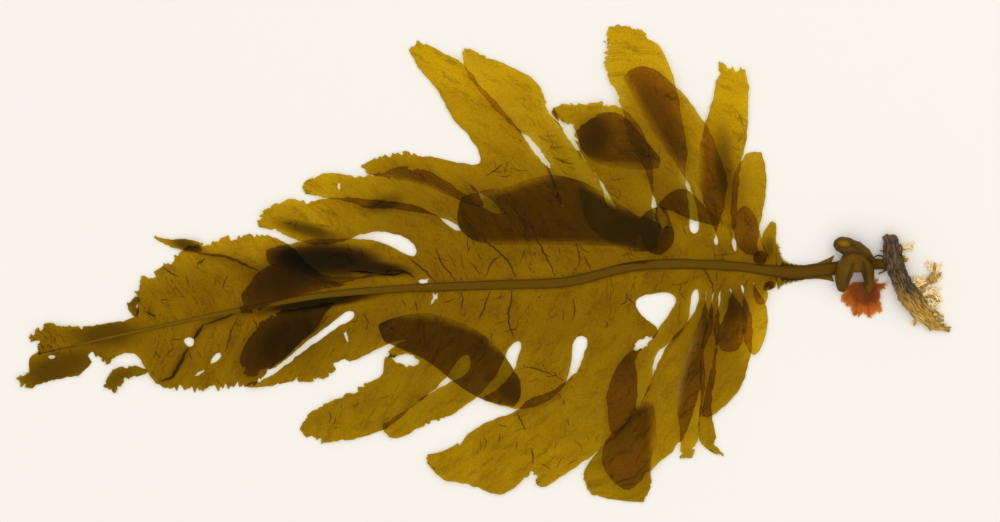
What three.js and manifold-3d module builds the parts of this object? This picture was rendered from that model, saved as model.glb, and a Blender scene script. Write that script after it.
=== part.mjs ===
// A wakame kelp frond, lifted from the water and laid flat.
//
// A strap-like stipe runs from the holdfast into the blade, where it goes on as the midrib.
// A thin sheet, the blade, stands out on both sides of the midrib and branches into lobes,
// which lie over and under one another. A fleshy sporophyll clasps the lower stipe.
//
// Millimetres, +Z up, +X from the blade's tip to the holdfast. The frond rests on z = 0.

import * as THREE from "three";
import { mergeVertices } from "three/addons/utils/BufferGeometryUtils.js";
import Module from "manifold-3d";

const wasm = await Module();
wasm.setup();

// Driving dimensions
const LAMINA = 0.6; // thickness of the blade
const LAYER_GAP = 0.35; // free space between two sheets that lie on each other
const SEAM = 0.3; // gap where a lobe meets the sheet it grows from
const MIDRIB_SEAM = 0.45; // gap between the midrib and the blade
const CELL = 9.3; // length of a facet along a lobe
const CELL_ACROSS = 9; // and across it
const WEB_ROWS = 3; // facets from the midrib out to the lobes
const RUFFLE = 0.7; // how far the lobes' margins lift off what they lie on
const RUFFLE_LENGTH = 34; // from one lift of a margin to the next
const MIDRIB_WIDTH = 5;
const MIDRIB_HEIGHT = 2.2;
const MIDRIB_TIP_WIDTH = 1.6;
const MIDRIB_TIP_HEIGHT = 1.0;
const STIPE_WIDTH = 5.4;
const STIPE_HEIGHT = 3.6;

// Colours, as the wet frond shows them
const OLIVE = { color: 0x8a6a0c, roughness: 0.35, metalness: 0 };
const RIB_OLIVE = { color: 0x5c4508, roughness: 0.4, metalness: 0 };
const DARK_OLIVE = { color: 0x3f3510, roughness: 0.3, metalness: 0 };
const ROOT_BROWN = { color: 0x584826, roughness: 0.8, metalness: 0 };
const ALGA_RED = { color: 0x7a2814, roughness: 0.5, metalness: 0 };

// The line of the stipe and midrib in plan, from the holdfast to the torn tip of the blade
const STIPE_LINE = [
  [203, 0], [190, 0], [177, -2], [158, -4.3], [143, -3.3], [128, -1.3], [108, -0.1], [88, -0.1],
  [78, -0.8], [68, -2.5], [58, -5.2], [48, -7.9], [38, -9.5], [18, -10.2], [-2, -10.7], [-22, -11.5],
  [-42, -12.4], [-82, -15.8], [-122, -23], [-177, -34.5], [-205, -41], [-221.5, -44.2],
];
const BLADE_START = 143; // x where the blade begins on the stipe
const MIDRIB_END = -206; // x where the midrib fades out, short of the torn tip
const STIPE_END = 198.5; // x where the stipe meets the holdfast

// The lobes of each side, from the stipe towards the tip. Each has a margin on the stipe's
// side, right, and one on the tip's side, left, both drawn in plan from the root outwards.
const UPPER_LOBES = [
  {
    name: "upper_bud",
    right: [[146.5, 2.5], [146.2, 8], [146.5, 13.5], [147.8, 18], [146, 20.5]],
    left: [[143, 3], [138.7, 10], [138.8, 14.5], [141, 19], [143.5, 20.8]],
    tip: 0.6,
  },
  {
    name: "upper_curl",
    right: [[142, 4], [139.5, 10.5], [137.5, 18], [136, 24], [133, 28]],
    left: [[138.5, 4.5], [131, 4.5], [127, 9.5], [124.5, 19.5], [126.5, 26]],
    tip: 2,
  },
  {
    name: "upper_lobe_1",
    right: [[137, 6], [138, 19.5], [140.5, 32], [141.5, 43], [139, 55.5]],
    left: [[127, 7], [123.5, 24], [124.8, 42], [127.8, 50], [131, 54.8]],
    tip: 1,
  },
  {
    name: "upper_lobe_2",
    right: [
      [124, 8.5], [126.5, 22], [127.5, 37], [128.5, 49.5], [131, 60.5], [132, 72], [132.5, 88],
      [131, 97],
    ],
    left: [
      [117.5, 10.5], [114, 22], [109, 34.5], [108, 52], [111, 71], [114.5, 83], [117, 94], [117.5, 101],
    ],
    tip: 1.5,
  },
  {
    name: "upper_lobe_3",
    right: [[115, 11.5], [119, 24.5], [122, 39.5], [117, 57], [108, 74.5], [98, 87], [85, 97.5]],
    left: [[107.5, 16.5], [106.5, 28], [100.5, 44], [88, 61], [77, 79.5], [70, 93]],
    tip: 3,
  },
  {
    name: "upper_lobe_4",
    right: [
      [103, 16.5], [103, 28], [100.5, 44.5], [101.5, 57], [99, 74.5], [96, 89.5], [89, 107], [79, 117],
    ],
    left: [
      [87, 21], [85.5, 32], [80.5, 47], [73, 62], [68.5, 79.5], [62, 94], [59.3, 107], [62.5, 118.6],
    ],
    tip: 2,
  },
  {
    name: "upper_lobe_5",
    right: [[84, 21], [84.5, 34.5], [84.5, 47], [80.5, 63], [73, 74.5], [63, 80.5], [50.5, 80], [37, 80]],
    left: [
      [67.5, 23.5], [65, 31], [58.7, 41], [52.8, 48.5], [49, 55], [46, 63], [42.5, 69.5], [34, 75],
    ],
    tip: 1.5,
  },
  {
    name: "upper_lobe_6",
    right: [
      [63.5, 24], [60.5, 33], [57.5, 42.5], [54.5, 48.5], [47, 54.5], [43, 64.5], [33, 77], [28.5, 88],
      [18, 96.5], [3, 103], [-7, 107.5],
    ],
    left: [
      [41, 28.5], [35, 38], [32.5, 46.5], [27.8, 55.5], [22.5, 63], [14, 70], [5, 78.5], [-2, 87],
      [-8.5, 96], [-10.5, 106],
    ],
    tip: 1,
  },
  {
    name: "upper_lobe_7",
    right: [
      [38, 28.5], [37, 38], [33, 46.5], [27.5, 53.5], [19.5, 64], [9.5, 77], [-3, 91], [-12, 101.5],
      [-22, 106], [-30, 111],
    ],
    left: [[8, 26.5], [2, 37], [-1, 48], [-5, 61], [-15.5, 73], [-22, 86], [-31.5, 97], [-37.5, 107]],
    tip: 1.5,
  },
  {
    name: "upper_lobe_8",
    right: [
      [4.5, 25.5], [-7, 30.5], [-16, 39.5], [-29.5, 46.5], [-43, 49.5], [-53, 45], [-67, 44.5],
      [-75, 46], [-82, 44.8], [-89, 41.5],
    ],
    left: [
      [-11, 18], [-22, 24], [-36, 26.5], [-48, 28], [-56, 27], [-67, 31.5], [-79.5, 33.5], [-89, 35],
    ],
    tip: 2,
  },
  {
    name: "upper_lobe_9",
    right: [
      [-15, 16.5], [-24, 24.5], [-37, 29.5], [-52, 32], [-69.5, 33], [-84.5, 32], [-98, 32.5],
      [-108, 28.5], [-112, 24],
    ],
    left: [
      [-33.5, 7.5], [-40, 13.5], [-52, 16.5], [-63, 14.3], [-74.5, 10.2], [-87, 10.5], [-97, 13.5],
      [-107, 17.5], [-112.5, 18.5],
    ],
    tip: 1,
  },
  {
    name: "upper_lobe_10",
    right: [[-36.5, 3.5], [-43, 8], [-56, 12], [-72, 12.5], [-87, 12], [-98.5, 9.5], [-107, 7.5]],
    left: [[-46, -3], [-62, -7.5], [-77, -9.8], [-92, -7], [-100.5, -1], [-107, 0]],
    tip: 1,
  },
  {
    name: "upper_lobe_11",
    right: [[-50, -5], [-72, -6.5], [-92, -3], [-100, 0], [-108, -1.5], [-117, -9.5], [-120.5, -15.5]],
    left: [[-69.5, -10.5], [-82, -13], [-97, -17], [-109.5, -21], [-114.5, -25], [-121, -24.5]],
    tip: 1.5,
  },
];

const LOWER_LOBES = [
  {
    name: "lower_bud",
    right: [[146.5, -8], [145.5, -12]],
    left: [[141.2, -8.9], [140, -12.8]],
    tip: 1,
  },
  {
    name: "lower_curl",
    right: [[140.5, -9], [142, -15], [140.5, -19]],
    left: [[136, -9.5], [135, -15.5], [136.5, -19.5]],
    tip: 1,
  },
  {
    name: "lower_lobe_1",
    right: [[134.5, -10], [139, -16.5], [142, -25.5], [141, -35.5], [138, -43]],
    left: [[130, -11], [130, -20.5], [129.5, -30.5], [130, -39], [133, -44]],
    tip: 1.5,
  },
  {
    name: "lower_lobe_2",
    right: [[128.5, -12], [134, -28], [134, -40.5], [130.5, -57], [124, -68], [116, -74.5]],
    left: [[124.5, -13], [121.5, -23], [116.5, -38], [114, -53], [110.5, -66], [109.5, -76]],
    tip: 1,
  },
  {
    name: "lower_lobe_3",
    right: [[122.6, -13.6], [127, -19], [132, -26], [130.5, -33.5], [127.5, -42]],
    left: [[118.6, -14.7], [117, -23], [115.8, -33], [114.6, -39], [118.5, -42.8]],
    tip: 2,
  },
  {
    name: "lower_lobe_4",
    right: [[117.6, -14.9], [117.5, -33], [116, -53], [114, -70.5], [116, -85], [119, -91], [120, -96]],
    left: [
      [115.2, -15], [110.5, -33], [107.8, -52], [108.5, -70.5], [107.5, -83], [108.5, -90], [115, -94],
    ],
    tip: 0.5,
  },
  {
    name: "lower_lobe_5",
    right: [
      [114.4, -15], [114, -33], [109.8, -44], [111, -57], [109, -70.5], [107.3, -84], [106.8, -93],
      [104.3, -97],
    ],
    left: [
      [111.6, -14.8], [106, -33], [100, -48], [96.5, -65.5], [98, -80.5], [98.5, -88], [96.3, -94],
      [98, -97],
    ],
    tip: 0.8,
  },
  {
    name: "lower_lobe_6",
    right: [
      [110.8, -14.6], [112, -31], [108.6, -43.5], [109.4, -56], [107, -67], [103.5, -78], [100, -87],
      [95, -93], [88, -99], [78, -109],
    ],
    left: [
      [107.6, -14], [106.4, -22], [100.5, -30.5], [95, -36], [91, -42], [85.5, -54], [80.5, -65],
      [73, -78], [60, -89], [61, -103], [69, -112],
    ],
    tip: 2,
  },
  {
    name: "lower_lobe_7",
    right: [
      [104.6, -13.8], [103, -24], [100.6, -31.5], [94.5, -38.5], [86.5, -44.5], [84.5, -54],
      [82.5, -64], [75, -73], [66, -84],
    ],
    left: [
      [95.5, -15], [93, -24], [86.5, -33], [84, -38], [78, -41.5], [71.5, -45.5], [65, -55], [62, -65],
      [62, -75.5], [63, -83],
    ],
    tip: 1,
  },
  {
    name: "lower_lobe_8",
    right: [
      [76.5, -16.5], [77.5, -24.5], [88.5, -34], [83, -39.5], [76, -43], [77, -58], [75, -74],
      [66, -86.5], [54, -95.5], [41.5, -104.5], [32, -111],
    ],
    left: [
      [52, -37], [48.5, -51], [40.5, -59.5], [30, -65], [18, -70.5], [19, -88], [22, -98], [25, -105],
      [27, -110.5],
    ],
    tip: 1,
  },
  {
    name: "lower_lobe_9",
    right: [[44.5, -38], [43.5, -50.5], [38, -63], [28, -70.5], [13, -72], [2, -68.5]],
    left: [[18.8, -38.5], [16.5, -50], [9, -60.5], [0.5, -66.5]],
    tip: 0.5,
  },
  {
    name: "lower_lobe_10",
    right: [[12.5, -41.5], [10.5, -48], [4, -58], [-4, -66.8], [-17, -76], [-32, -82], [-43, -87]],
    left: [[-6.8, -46], [-7.8, -53.5], [-15.5, -58.5], [-26.5, -64.6], [-36, -71], [-50, -80]],
    tip: 2.5,
  },
  {
    name: "lower_lobe_11",
    right: [
      [-12.3, -47], [-17.5, -55], [-22, -60.5], [-33.5, -69.5], [-44.5, -79.5], [-58, -85.5],
      [-69.5, -88.5], [-81, -89.5],
    ],
    left: [
      [-38, -38.5], [-46, -41.5], [-49.5, -47], [-50, -55.5], [-58, -58.5], [-69.5, -65], [-82, -71.5],
      [-89.5, -76.5], [-92, -83],
    ],
    tip: 2,
  },
  {
    name: "lower_lobe_12",
    right: [
      [-42, -37.5], [-50.5, -41.5], [-62, -47], [-73, -51.5], [-81, -60], [-92, -58], [-104.5, -61],
      [-117, -61.5],
    ],
    left: [[-64.5, -26.5], [-73, -31.5], [-84.5, -40], [-97, -48.5], [-108, -57], [-118, -59.5]],
    tip: 1,
  },
  {
    name: "lower_lobe_13",
    right: [[-67.5, -23.5], [-77, -30.5], [-88, -38.5], [-99.5, -48], [-109.5, -56], [-118.5, -56.5]],
    left: [[-75, -19.5], [-92, -22], [-108, -25], [-113, -31.5], [-119.5, -41], [-122, -47]],
    tip: 1,
  },
];

// The blade's own margin past the last lobe, round to the torn tip
const UPPER_TIP_MARGIN = [
  [-76, -9], [-88, 0], [-98, 10], [-113, 15], [-134, 13], [-146, 10], [-153, 5.5], [-162.5, -2],
  [-168, -5.2], [-172.2, -7.5], [-172.6, -13], [-173, -19], [-173.5, -25.8], [-182, -28.5], [-190, -30.2],
  [-197, -31.2], [-204, -31], [-212, -30], [-219.5, -29.3], [-225.3, -34], [-227.3, -37],
];
const LOWER_TIP_MARGIN = [
  [-78.5, -23.5], [-82.5, -31], [-91, -39], [-100.5, -47.5], [-108.5, -55], [-114, -60.5], [-122, -62],
  [-139.5, -64.5], [-157, -63.5],
  [-166, -57], [-168.8, -52.5], [-171.2, -47.5], [-174.5, -44.7], [-178.5, -44.3], [-182.3, -45.5],
  [-185, -49], [-188.8, -51], [-191.8, -49.8], [-193.6, -45.6], [-195.4, -45], [-196.2, -50],
  [-198.5, -54], [-202, -55], [-214.3, -58.3], [-226.8, -61.8], [-230.5, -62.3], [-233.5, -57],
];

// Fingers branch from a lobe's margin, between two of its rows of facets.
const FINGERS = [
  {
    name: "upper_finger",
    parent: "upper_lobe_7",
    rows: [0, 3],
    right: [[-10, 50.5], [-23.5, 53], [-42, 57], [-54, 53], [-61, 49.5]],
    left: [[-3, 30.5], [-14.5, 33], [-29.5, 39.5], [-44.5, 42], [-58, 45]],
    tip: 1,
  },
  {
    name: "lower_finger",
    parent: "lower_lobe_8",
    rows: [7, 11],
    right: [[23, -106], [14.5, -112], [6.5, -115.5], [-6, -110], [-20.5, -107.5], [-28, -99]],
    left: [[6.5, -77], [-4.5, -83], [-17, -92], [-28, -95.5]],
    tip: 0.5,
  },
];

// Pleats of the blade, tucked under the rest of it or folded over it, with no free root
const PLEATS = [
  {
    name: "tucked_pleat_1",
    right: [[76, 9], [60, 9.5], [45, 10], [28, 10.2], [10.5, 10], [-4.5, 12], [-12, 18]],
    left: [[78, 22], [62, 34], [47, 41.5], [32, 44], [15.5, 39.5], [3, 35.5], [-9, 33]],
    tip: 2,
  },
  {
    name: "tucked_pleat_2",
    right: [[86, 7], [74, 7], [64, 10.5], [53, 19.5]],
    left: [[87, 19], [78, 23], [63, 32], [48, 38]],
    tip: 1,
  },
  {
    name: "tucked_pleat_3",
    right: [[49, 57], [58, 50], [69, 48.5], [79, 47.5], [87, 48]],
    left: [[46.5, 67], [58, 75], [68, 75], [77, 66], [88, 53]],
    tip: 0.5,
  },
  {
    name: "tucked_pleat_4",
    right: [
      [-49.5, -38.5], [-40, -42.5], [-31, -46.5], [-24.5, -50.5], [-12, -60.5], [0.5, -67.5], [15, -71],
    ],
    left: [[-52.5, -30.5], [-39.5, -26], [-24.5, -25.5], [-8, -31.5], [6.5, -41.5], [18, -58]],
    tip: 2,
  },
  {
    name: "tucked_pleat_5",
    right: [[84.5, -70], [86, -83], [83, -103], [83.5, -114], [80, -119]],
    left: [[79.5, -68.5], [70.5, -80.5], [56, -95.5], [49.5, -109], [54, -115.5]],
    tip: 0.3,
  },
  {
    name: "torn_flake",
    right: [[-173.6, -18], [-175.7, -18.5], [-178.2, -20]],
    left: [[-174, -24.5], [-175.4, -25], [-177.3, -23]],
    tip: 0.3,
  },
  {
    name: "folded_flap_1",
    right: [[90.5, 28], [93, 21], [95, 14.5], [93.5, 8.5], [89, 5]],
    left: [[87, 28.5], [80, 23], [78.5, 15.5], [81.5, 10], [83, 6]],
    tip: 0.5,
  },
  {
    name: "folded_flap_2",
    right: [[88.5, 28], [96, 26], [104, 22.5], [116.5, 19.5]],
    left: [[88.5, 30.5], [99.5, 38.5], [107, 31], [117, 22.5]],
    tip: 0.5,
  },
  {
    name: "torn_shred",
    right: [[-140, 10.5], [-149, 12.5], [-157, 12], [-164.5, 14]],
    left: [[-142, 6], [-149, 7], [-156, 8.5], [-164, 12.5]],
    tip: 0.2,
  },
  {
    name: "torn_flap",
    right: [[-168.5, -54.6], [-174, -56.5], [-178.5, -58.5], [-182, -61.5], [-184, -64.5]],
    left: [[-168, -52.8], [-175, -50.5], [-182.5, -51.8], [-188, -55], [-190, -61]],
    tip: 0.5,
  },
];

// What lies on what, from the surface up
const LAYING_ORDER = [
  "tucked_pleat_1", "tucked_pleat_2", "tucked_pleat_3", "tucked_pleat_4", "tucked_pleat_5",
  "torn_flap", "torn_flake",
  "blade_upper", "blade_lower", "stipe_and_midrib",
  "upper_bud", "upper_lobe_2", "upper_lobe_1", "upper_curl", "upper_lobe_3", "upper_lobe_4",
  "upper_lobe_5", "upper_lobe_7", "upper_finger", "upper_lobe_6",
  "upper_lobe_9", "upper_lobe_8", "upper_lobe_11", "upper_lobe_10",
  "folded_flap_2", "folded_flap_1", "torn_shred",
  "lower_bud", "lower_lobe_4", "lower_lobe_2", "lower_lobe_1", "lower_curl", "lower_lobe_3",
  "lower_lobe_8", "lower_finger", "lower_lobe_6", "lower_lobe_5", "lower_lobe_7",
  "lower_lobe_11", "lower_lobe_10", "lower_lobe_9", "lower_lobe_12", "lower_lobe_13",
];

const point = ([x, y]) => new THREE.Vector2(x, y);
const curveThrough = (points) => new THREE.SplineCurve(points.map(point));
const STIPE_STEPS = 400;
const stipeSamples = curveThrough(STIPE_LINE).getSpacedPoints(STIPE_STEPS);

// The stipe's line at a given x, which falls steadily along it
function stipeY(x) {
  const at = THREE.MathUtils.clamp(stipeSamples.findIndex((p) => p.x <= x), 1, STIPE_STEPS);
  const [a, b] = [stipeSamples[at - 1], stipeSamples[at]];
  return THREE.MathUtils.mapLinear(x, a.x, b.x, a.y, b.y);
}

// The strap's half width and height, tapering along the midrib to the tip
function strapAt(x) {
  const along = THREE.MathUtils.clamp((x - MIDRIB_END) / (BLADE_START - MIDRIB_END), 0, 1);
  const inBlade = Math.pow(along, 0.6);
  const onStipe = THREE.MathUtils.smoothstep(x, BLADE_START - 20, BLADE_START + 15);
  const width = THREE.MathUtils.lerp(MIDRIB_TIP_WIDTH, MIDRIB_WIDTH, inBlade);
  const height = THREE.MathUtils.lerp(MIDRIB_TIP_HEIGHT, MIDRIB_HEIGHT, inBlade);
  return {
    half: THREE.MathUtils.lerp(width, STIPE_WIDTH, onStipe) / 2,
    height: THREE.MathUtils.lerp(height, STIPE_HEIGHT, onStipe),
  };
}

// A closed mesh from its vertices and triangles
function closedGeometry(vertices, triangles) {
  const geometry = new THREE.BufferGeometry();
  geometry.setAttribute("position", new THREE.Float32BufferAttribute(vertices.flat(), 3));
  geometry.setIndex(triangles.flat());
  geometry.computeVertexNormals();
  return geometry;
}

// A height map of everything laid down so far, on cells of one millimetre
const MAP = { x: -245, y: -130, wide: 490, deep: 260 };
const CELL_REACH = 0.8; // how far outside a triangle a cell still counts as under it
const heights = new Float32Array(MAP.wide * MAP.deep);

// The map's cells under a triangle, each with the weights of the triangle's corners there
function cellsUnder(corners) {
  const flat = new THREE.Triangle(...corners.map((c) => new THREE.Vector3(c.x, c.y, 0)));
  const box = new THREE.Box3().setFromPoints([flat.a, flat.b, flat.c]);
  const cell = new THREE.Vector3();
  const nearest = new THREE.Vector3();
  const weights = new THREE.Vector3();
  const cells = [];
  for (let j = Math.floor(box.min.y - MAP.y); j <= Math.ceil(box.max.y - MAP.y); j++)
    for (let i = Math.floor(box.min.x - MAP.x); i <= Math.ceil(box.max.x - MAP.x); i++) {
      cell.set(i + MAP.x, j + MAP.y, 0);
      flat.closestPointToPoint(cell, nearest);
      if (nearest.distanceTo(cell) > CELL_REACH) continue;
      flat.getBarycoord(nearest, weights);
      cells.push({ at: j * MAP.wide + i, x: cell.x, y: cell.y, weights: weights.toArray() });
    }
  return cells;
}

function markTop(corners, cells, thickness) {
  for (const { at, weights } of cells) {
    const z = weights.reduce((sum, w, k) => sum + w * corners[k].z, thickness);
    heights[at] = Math.max(heights[at], z);
  }
}

// Lifts the corners of a triangle, as little as will do, until it clears what lies under it.
function clearTriangle(corners, cells) {
  const TOUCH = 0.01;
  for (const { at, weights } of cells) {
    if (heights[at] === 0) continue;
    const z = weights.reduce((sum, w, k) => sum + w * corners[k].z, 0);
    const lack = heights[at] + LAYER_GAP - z;
    if (lack < TOUCH) continue;
    const share = weights.reduce((sum, w) => sum + w * w, 0);
    corners.forEach((c, k) => {
      c.z += (lack * weights[k]) / share;
    });
  }
}

// Lays a grid of plan points on what is there and marks it on the map. A root row starts at the
// height of the margin it grows from, and what lies within ROOT_REACH of it is that margin.
const ROOT_REACH = 1.6;
const LAY_ROUNDS = 30;

function lay(grid, rootHeights) {
  const root = grid[0].map((p) => p.clone().setZ(0));
  const besideRoot = (x, y) =>
    rootHeights !== undefined &&
    root.slice(1).some((p, k) => {
      const cell = new THREE.Vector3(x, y, 0);
      const nearest = new THREE.Line3(root[k], p).closestPointToPoint(cell, true, new THREE.Vector3());
      return nearest.distanceTo(cell) < ROOT_REACH;
    });
  const triangles = [];
  for (let i = 1; i < grid.length; i++)
    for (let j = 1; j < grid[0].length; j++) {
      const [a, b, c, d] = [grid[i - 1][j - 1], grid[i - 1][j], grid[i][j], grid[i][j - 1]];
      triangles.push([a, b, c], [a, c, d]);
    }
  const under = triangles.map(cellsUnder);
  const clear = under.map((cells, k) => {
    const atRoot = triangles[k].some((p) => grid[0].includes(p));
    return atRoot ? cells.filter(({ x, y }) => !besideRoot(x, y)) : cells;
  });
  grid.forEach((row, i) =>
    row.forEach((p, j) => {
      p.z = rootHeights === undefined ? 0 : rootHeights[j] * Math.max(0, 1 - i / 2);
    }),
  );
  for (let round = 0; round < LAY_ROUNDS; round++) triangles.forEach((t, k) => clearTriangle(t, clear[k]));
  grid.forEach((row, i) =>
    row.forEach((p, j) => {
      const margin = Math.abs((2 * j) / (row.length - 1) - 1) ** 2;
      const free = rootHeights === undefined ? 0 : Math.min(1, i / 3);
      const wave = 0.5 - 0.5 * Math.cos((2 * Math.PI * (p.x + 0.6 * p.y)) / RUFFLE_LENGTH);
      p.z += RUFFLE * margin * free * wave;
    }),
  );
  triangles.forEach((t, k) => markTop(t, under[k], LAMINA));
  return grid;
}

// A sheet of the blade's thickness over a grid of points on its underside
function sheetGeometry(grid) {
  const [rows, columns] = [grid.length, grid[0].length];
  const [a, b, c] = [grid[0][0], grid[0][1], grid[1][0]];
  const faceUp = (b.x - a.x) * (c.y - a.y) - (b.y - a.y) * (c.x - a.x) > 0;
  const under = grid.flat().map((p) => [p.x, p.y, p.z]);
  const over = grid.flat().map((p) => [p.x, p.y, p.z + LAMINA]);
  const triangles = [];
  const add = (p, q, r) => triangles.push(faceUp ? [p, q, r] : [p, r, q]);
  const at = (i, j) => i * columns + j;
  const lift = rows * columns;
  for (let i = 1; i < rows; i++)
    for (let j = 1; j < columns; j++) {
      const [p, q, r, s] = [at(i - 1, j - 1), at(i - 1, j), at(i, j), at(i, j - 1)];
      add(lift + p, lift + q, lift + r);
      add(lift + p, lift + r, lift + s);
      add(p, r, q);
      add(p, s, r);
    }
  const rim = [];
  for (let j = 0; j < columns; j++) rim.push(at(0, j));
  for (let i = 1; i < rows; i++) rim.push(at(i, columns - 1));
  for (let j = columns - 2; j >= 0; j--) rim.push(at(rows - 1, j));
  for (let i = rows - 2; i > 0; i--) rim.push(at(i, 0));
  rim.forEach((p, k) => {
    const q = rim[(k + 1) % rim.length];
    add(p, q, lift + q);
    add(p, lift + q, lift + p);
  });
  return closedGeometry([...under, ...over], triangles);
}

// The rows of a lobe's facets, from its root to its tip. The tip bulges past its margins' ends.
function lobeGrid({ left, right, tip }, across) {
  const [leftCurve, rightCurve] = [curveThrough(left), curveThrough(right)];
  const length = (leftCurve.getLength() + rightCurve.getLength()) / 2;
  const steps = Math.max(2, Math.round(length / CELL));
  const outwards = leftCurve.getTangentAt(1).add(rightCurve.getTangentAt(1)).normalize();
  const rows = [];
  for (let i = 0; i <= steps; i++) {
    const [l, r] = [leftCurve.getPointAt(i / steps), rightCurve.getPointAt(i / steps)];
    const row = [];
    for (let j = 0; j <= across; j++) {
      const bulge = i === steps ? tip * (1 - (2 * (j / across) - 1) ** 2) : 0;
      const p = l.clone().lerp(r, j / across).addScaledVector(outwards, bulge);
      row.push(new THREE.Vector3(p.x, p.y, 0));
    }
    rows.push(row);
  }
  return rows;
}

function facetsAcross({ left, right }) {
  const [l, r] = [curveThrough(left), curveThrough(right)];
  const width = l.getPointAt(0.5).distanceTo(r.getPointAt(0.5));
  return THREE.MathUtils.clamp(Math.round(width / CELL_ACROSS), 2, 5);
}

// A root row stands clear of the margin it grows from.
function clearRoot(grid) {
  grid[0].forEach((p, j) => {
    const outwards = grid[1][j].clone().sub(p).setZ(0).normalize();
    p.addScaledVector(outwards, SEAM);
  });
}

// One half of the blade, between the midrib and the lobes' roots, and on to the torn tip.
// Its margin has a point for each point of each lobe's root, and a gap between two lobes.
function bladeGrid(lobes, tipMargin, side) {
  const TIP_STEP = 6.5;
  const LEAST_STEP = 0.9;
  const first = BLADE_START + 4;
  const margin = [new THREE.Vector2(first, stipeY(first) + side * (strapAt(first).half + 1.2))];
  for (const lobe of lobes) {
    const across = facetsAcross(lobe);
    const [r, l] = [point(lobe.right[0]), point(lobe.left[0])];
    lobe.rootColumns = [];
    for (let j = 0; j <= across; j++) {
      lobe.rootColumns.unshift(margin.length);
      margin.push(r.clone().lerp(l, j / across));
    }
  }
  const tipCurve = curveThrough(tipMargin);
  margin.push(...tipCurve.getSpacedPoints(Math.round(tipCurve.getLength() / TIP_STEP)));
  const last = STIPE_LINE.at(-1)[0];
  let x = first + LEAST_STEP;
  const inner = margin.map((p, k) => {
    const room = last + (margin.length - 1 - k) * LEAST_STEP;
    x = Math.max(Math.min(x - LEAST_STEP, p.x), room);
    const half = x > MIDRIB_END - 2 ? strapAt(x).half + MIDRIB_SEAM : SEAM;
    return new THREE.Vector2(x, stipeY(x) + side * half);
  });
  const grid = [];
  for (let i = 0; i <= WEB_ROWS; i++)
    grid.push(margin.map((p, k) => inner[k].clone().lerp(p, i / WEB_ROWS)));
  return grid.map((row) => row.map((p) => new THREE.Vector3(p.x, p.y, 0)));
}

// A closed body through rings of equal count, with a flat cap at each end
function ringsGeometry(rings) {
  const count = rings[0].length;
  const triangles = [];
  for (let i = 1; i < rings.length; i++)
    for (let k = 0; k < count; k++) {
      const [a, b] = [(i - 1) * count + k, (i - 1) * count + ((k + 1) % count)];
      triangles.push([a, b + count, a + count], [a, b, b + count]);
    }
  const end = (rings.length - 1) * count;
  for (let k = 1; k < count - 1; k++) {
    triangles.push([0, k + 1, k]);
    triangles.push([end, end + k, end + k + 1]);
  }
  return closedGeometry(rings.flat(), triangles);
}

// A tapering body along stations that each have a place, a half width and a half height
function taperedGeometry(stations, sides) {
  const places = stations.map((s) => new THREE.Vector3(...s.at));
  const up = new THREE.Vector3(0, 0, 1);
  const rings = places.map((p, i) => {
    const [before, after] = [places[Math.max(i - 1, 0)], places[Math.min(i + 1, places.length - 1)]];
    const along = after.clone().sub(before).normalize();
    const sideways = along.clone().cross(up).normalize();
    const over = sideways.clone().cross(along).normalize();
    return Array.from({ length: sides }, (_, k) => {
      const turn = (-2 * Math.PI * k) / sides;
      return p
        .clone()
        .addScaledVector(sideways, stations[i].wide * Math.cos(turn))
        .addScaledVector(over, stations[i].high * Math.sin(turn))
        .toArray();
    });
  });
  return ringsGeometry(rings);
}

function solidOf(geometry) {
  const bare = geometry.clone();
  bare.deleteAttribute("normal");
  bare.deleteAttribute("uv");
  const merged = mergeVertices(bare, 1e-3);
  return new wasm.Manifold(
    new wasm.Mesh({
      numProp: 3,
      vertProperties: merged.attributes.position.array,
      triVerts: new Uint32Array(merged.index.array),
    }),
  );
}

// Several closed shapes grown together into one
function grownTogether(geometries) {
  const { vertProperties, triVerts } = geometries.map(solidOf).reduce((a, b) => a.add(b)).getMesh();
  const geometry = new THREE.BufferGeometry();
  geometry.setAttribute("position", new THREE.BufferAttribute(vertProperties, 3));
  geometry.setIndex(new THREE.BufferAttribute(triVerts, 1));
  geometry.computeVertexNormals();
  return geometry;
}

const frond = new THREE.Group();
frond.name = "kelp_frond";

function addPiece(name, geometry, finish) {
  const mesh = new THREE.Mesh(geometry, new THREE.MeshStandardMaterial(finish));
  mesh.name = name;
  frond.add(mesh);
}

// The stipe and midrib: one strap with a flat underside and a rounded top
function addStipe() {
  const STEP = 7.5;
  const OUTLINE = [
    [-1, 0.12], [-0.8, 0], [0.8, 0], [1, 0.12], [0.8, 0.72], [0.35, 1], [-0.35, 1], [-0.8, 0.72],
  ];
  const count = Math.ceil((STIPE_END - MIDRIB_END) / STEP);
  const rings = Array.from({ length: count + 1 }, (_, k) => {
    const x = THREE.MathUtils.lerp(STIPE_END, MIDRIB_END, k / count);
    const slope = stipeY(x - 0.5) - stipeY(x + 0.5);
    const sideways = new THREE.Vector2(-slope, -1).normalize();
    const { half, height } = strapAt(x);
    const at = (s, h) => [x + sideways.x * s * half, stipeY(x) + sideways.y * s * half, h * height];
    return OUTLINE.map(([s, h]) => at(s, h));
  });
  addPiece("stipe_and_midrib", ringsGeometry(rings), RIB_OLIVE);
  const corner = (k, n) => new THREE.Vector3(...rings[k][n]).setZ(rings[k][5][2]);
  for (let k = 1; k < rings.length; k++) {
    const [a, b, c, d] = [corner(k - 1, 0), corner(k - 1, 3), corner(k, 3), corner(k, 0)];
    for (const half of [[a, b, c], [a, c, d]]) markTop(half, cellsUnder(half), 0);
  }
}

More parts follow.
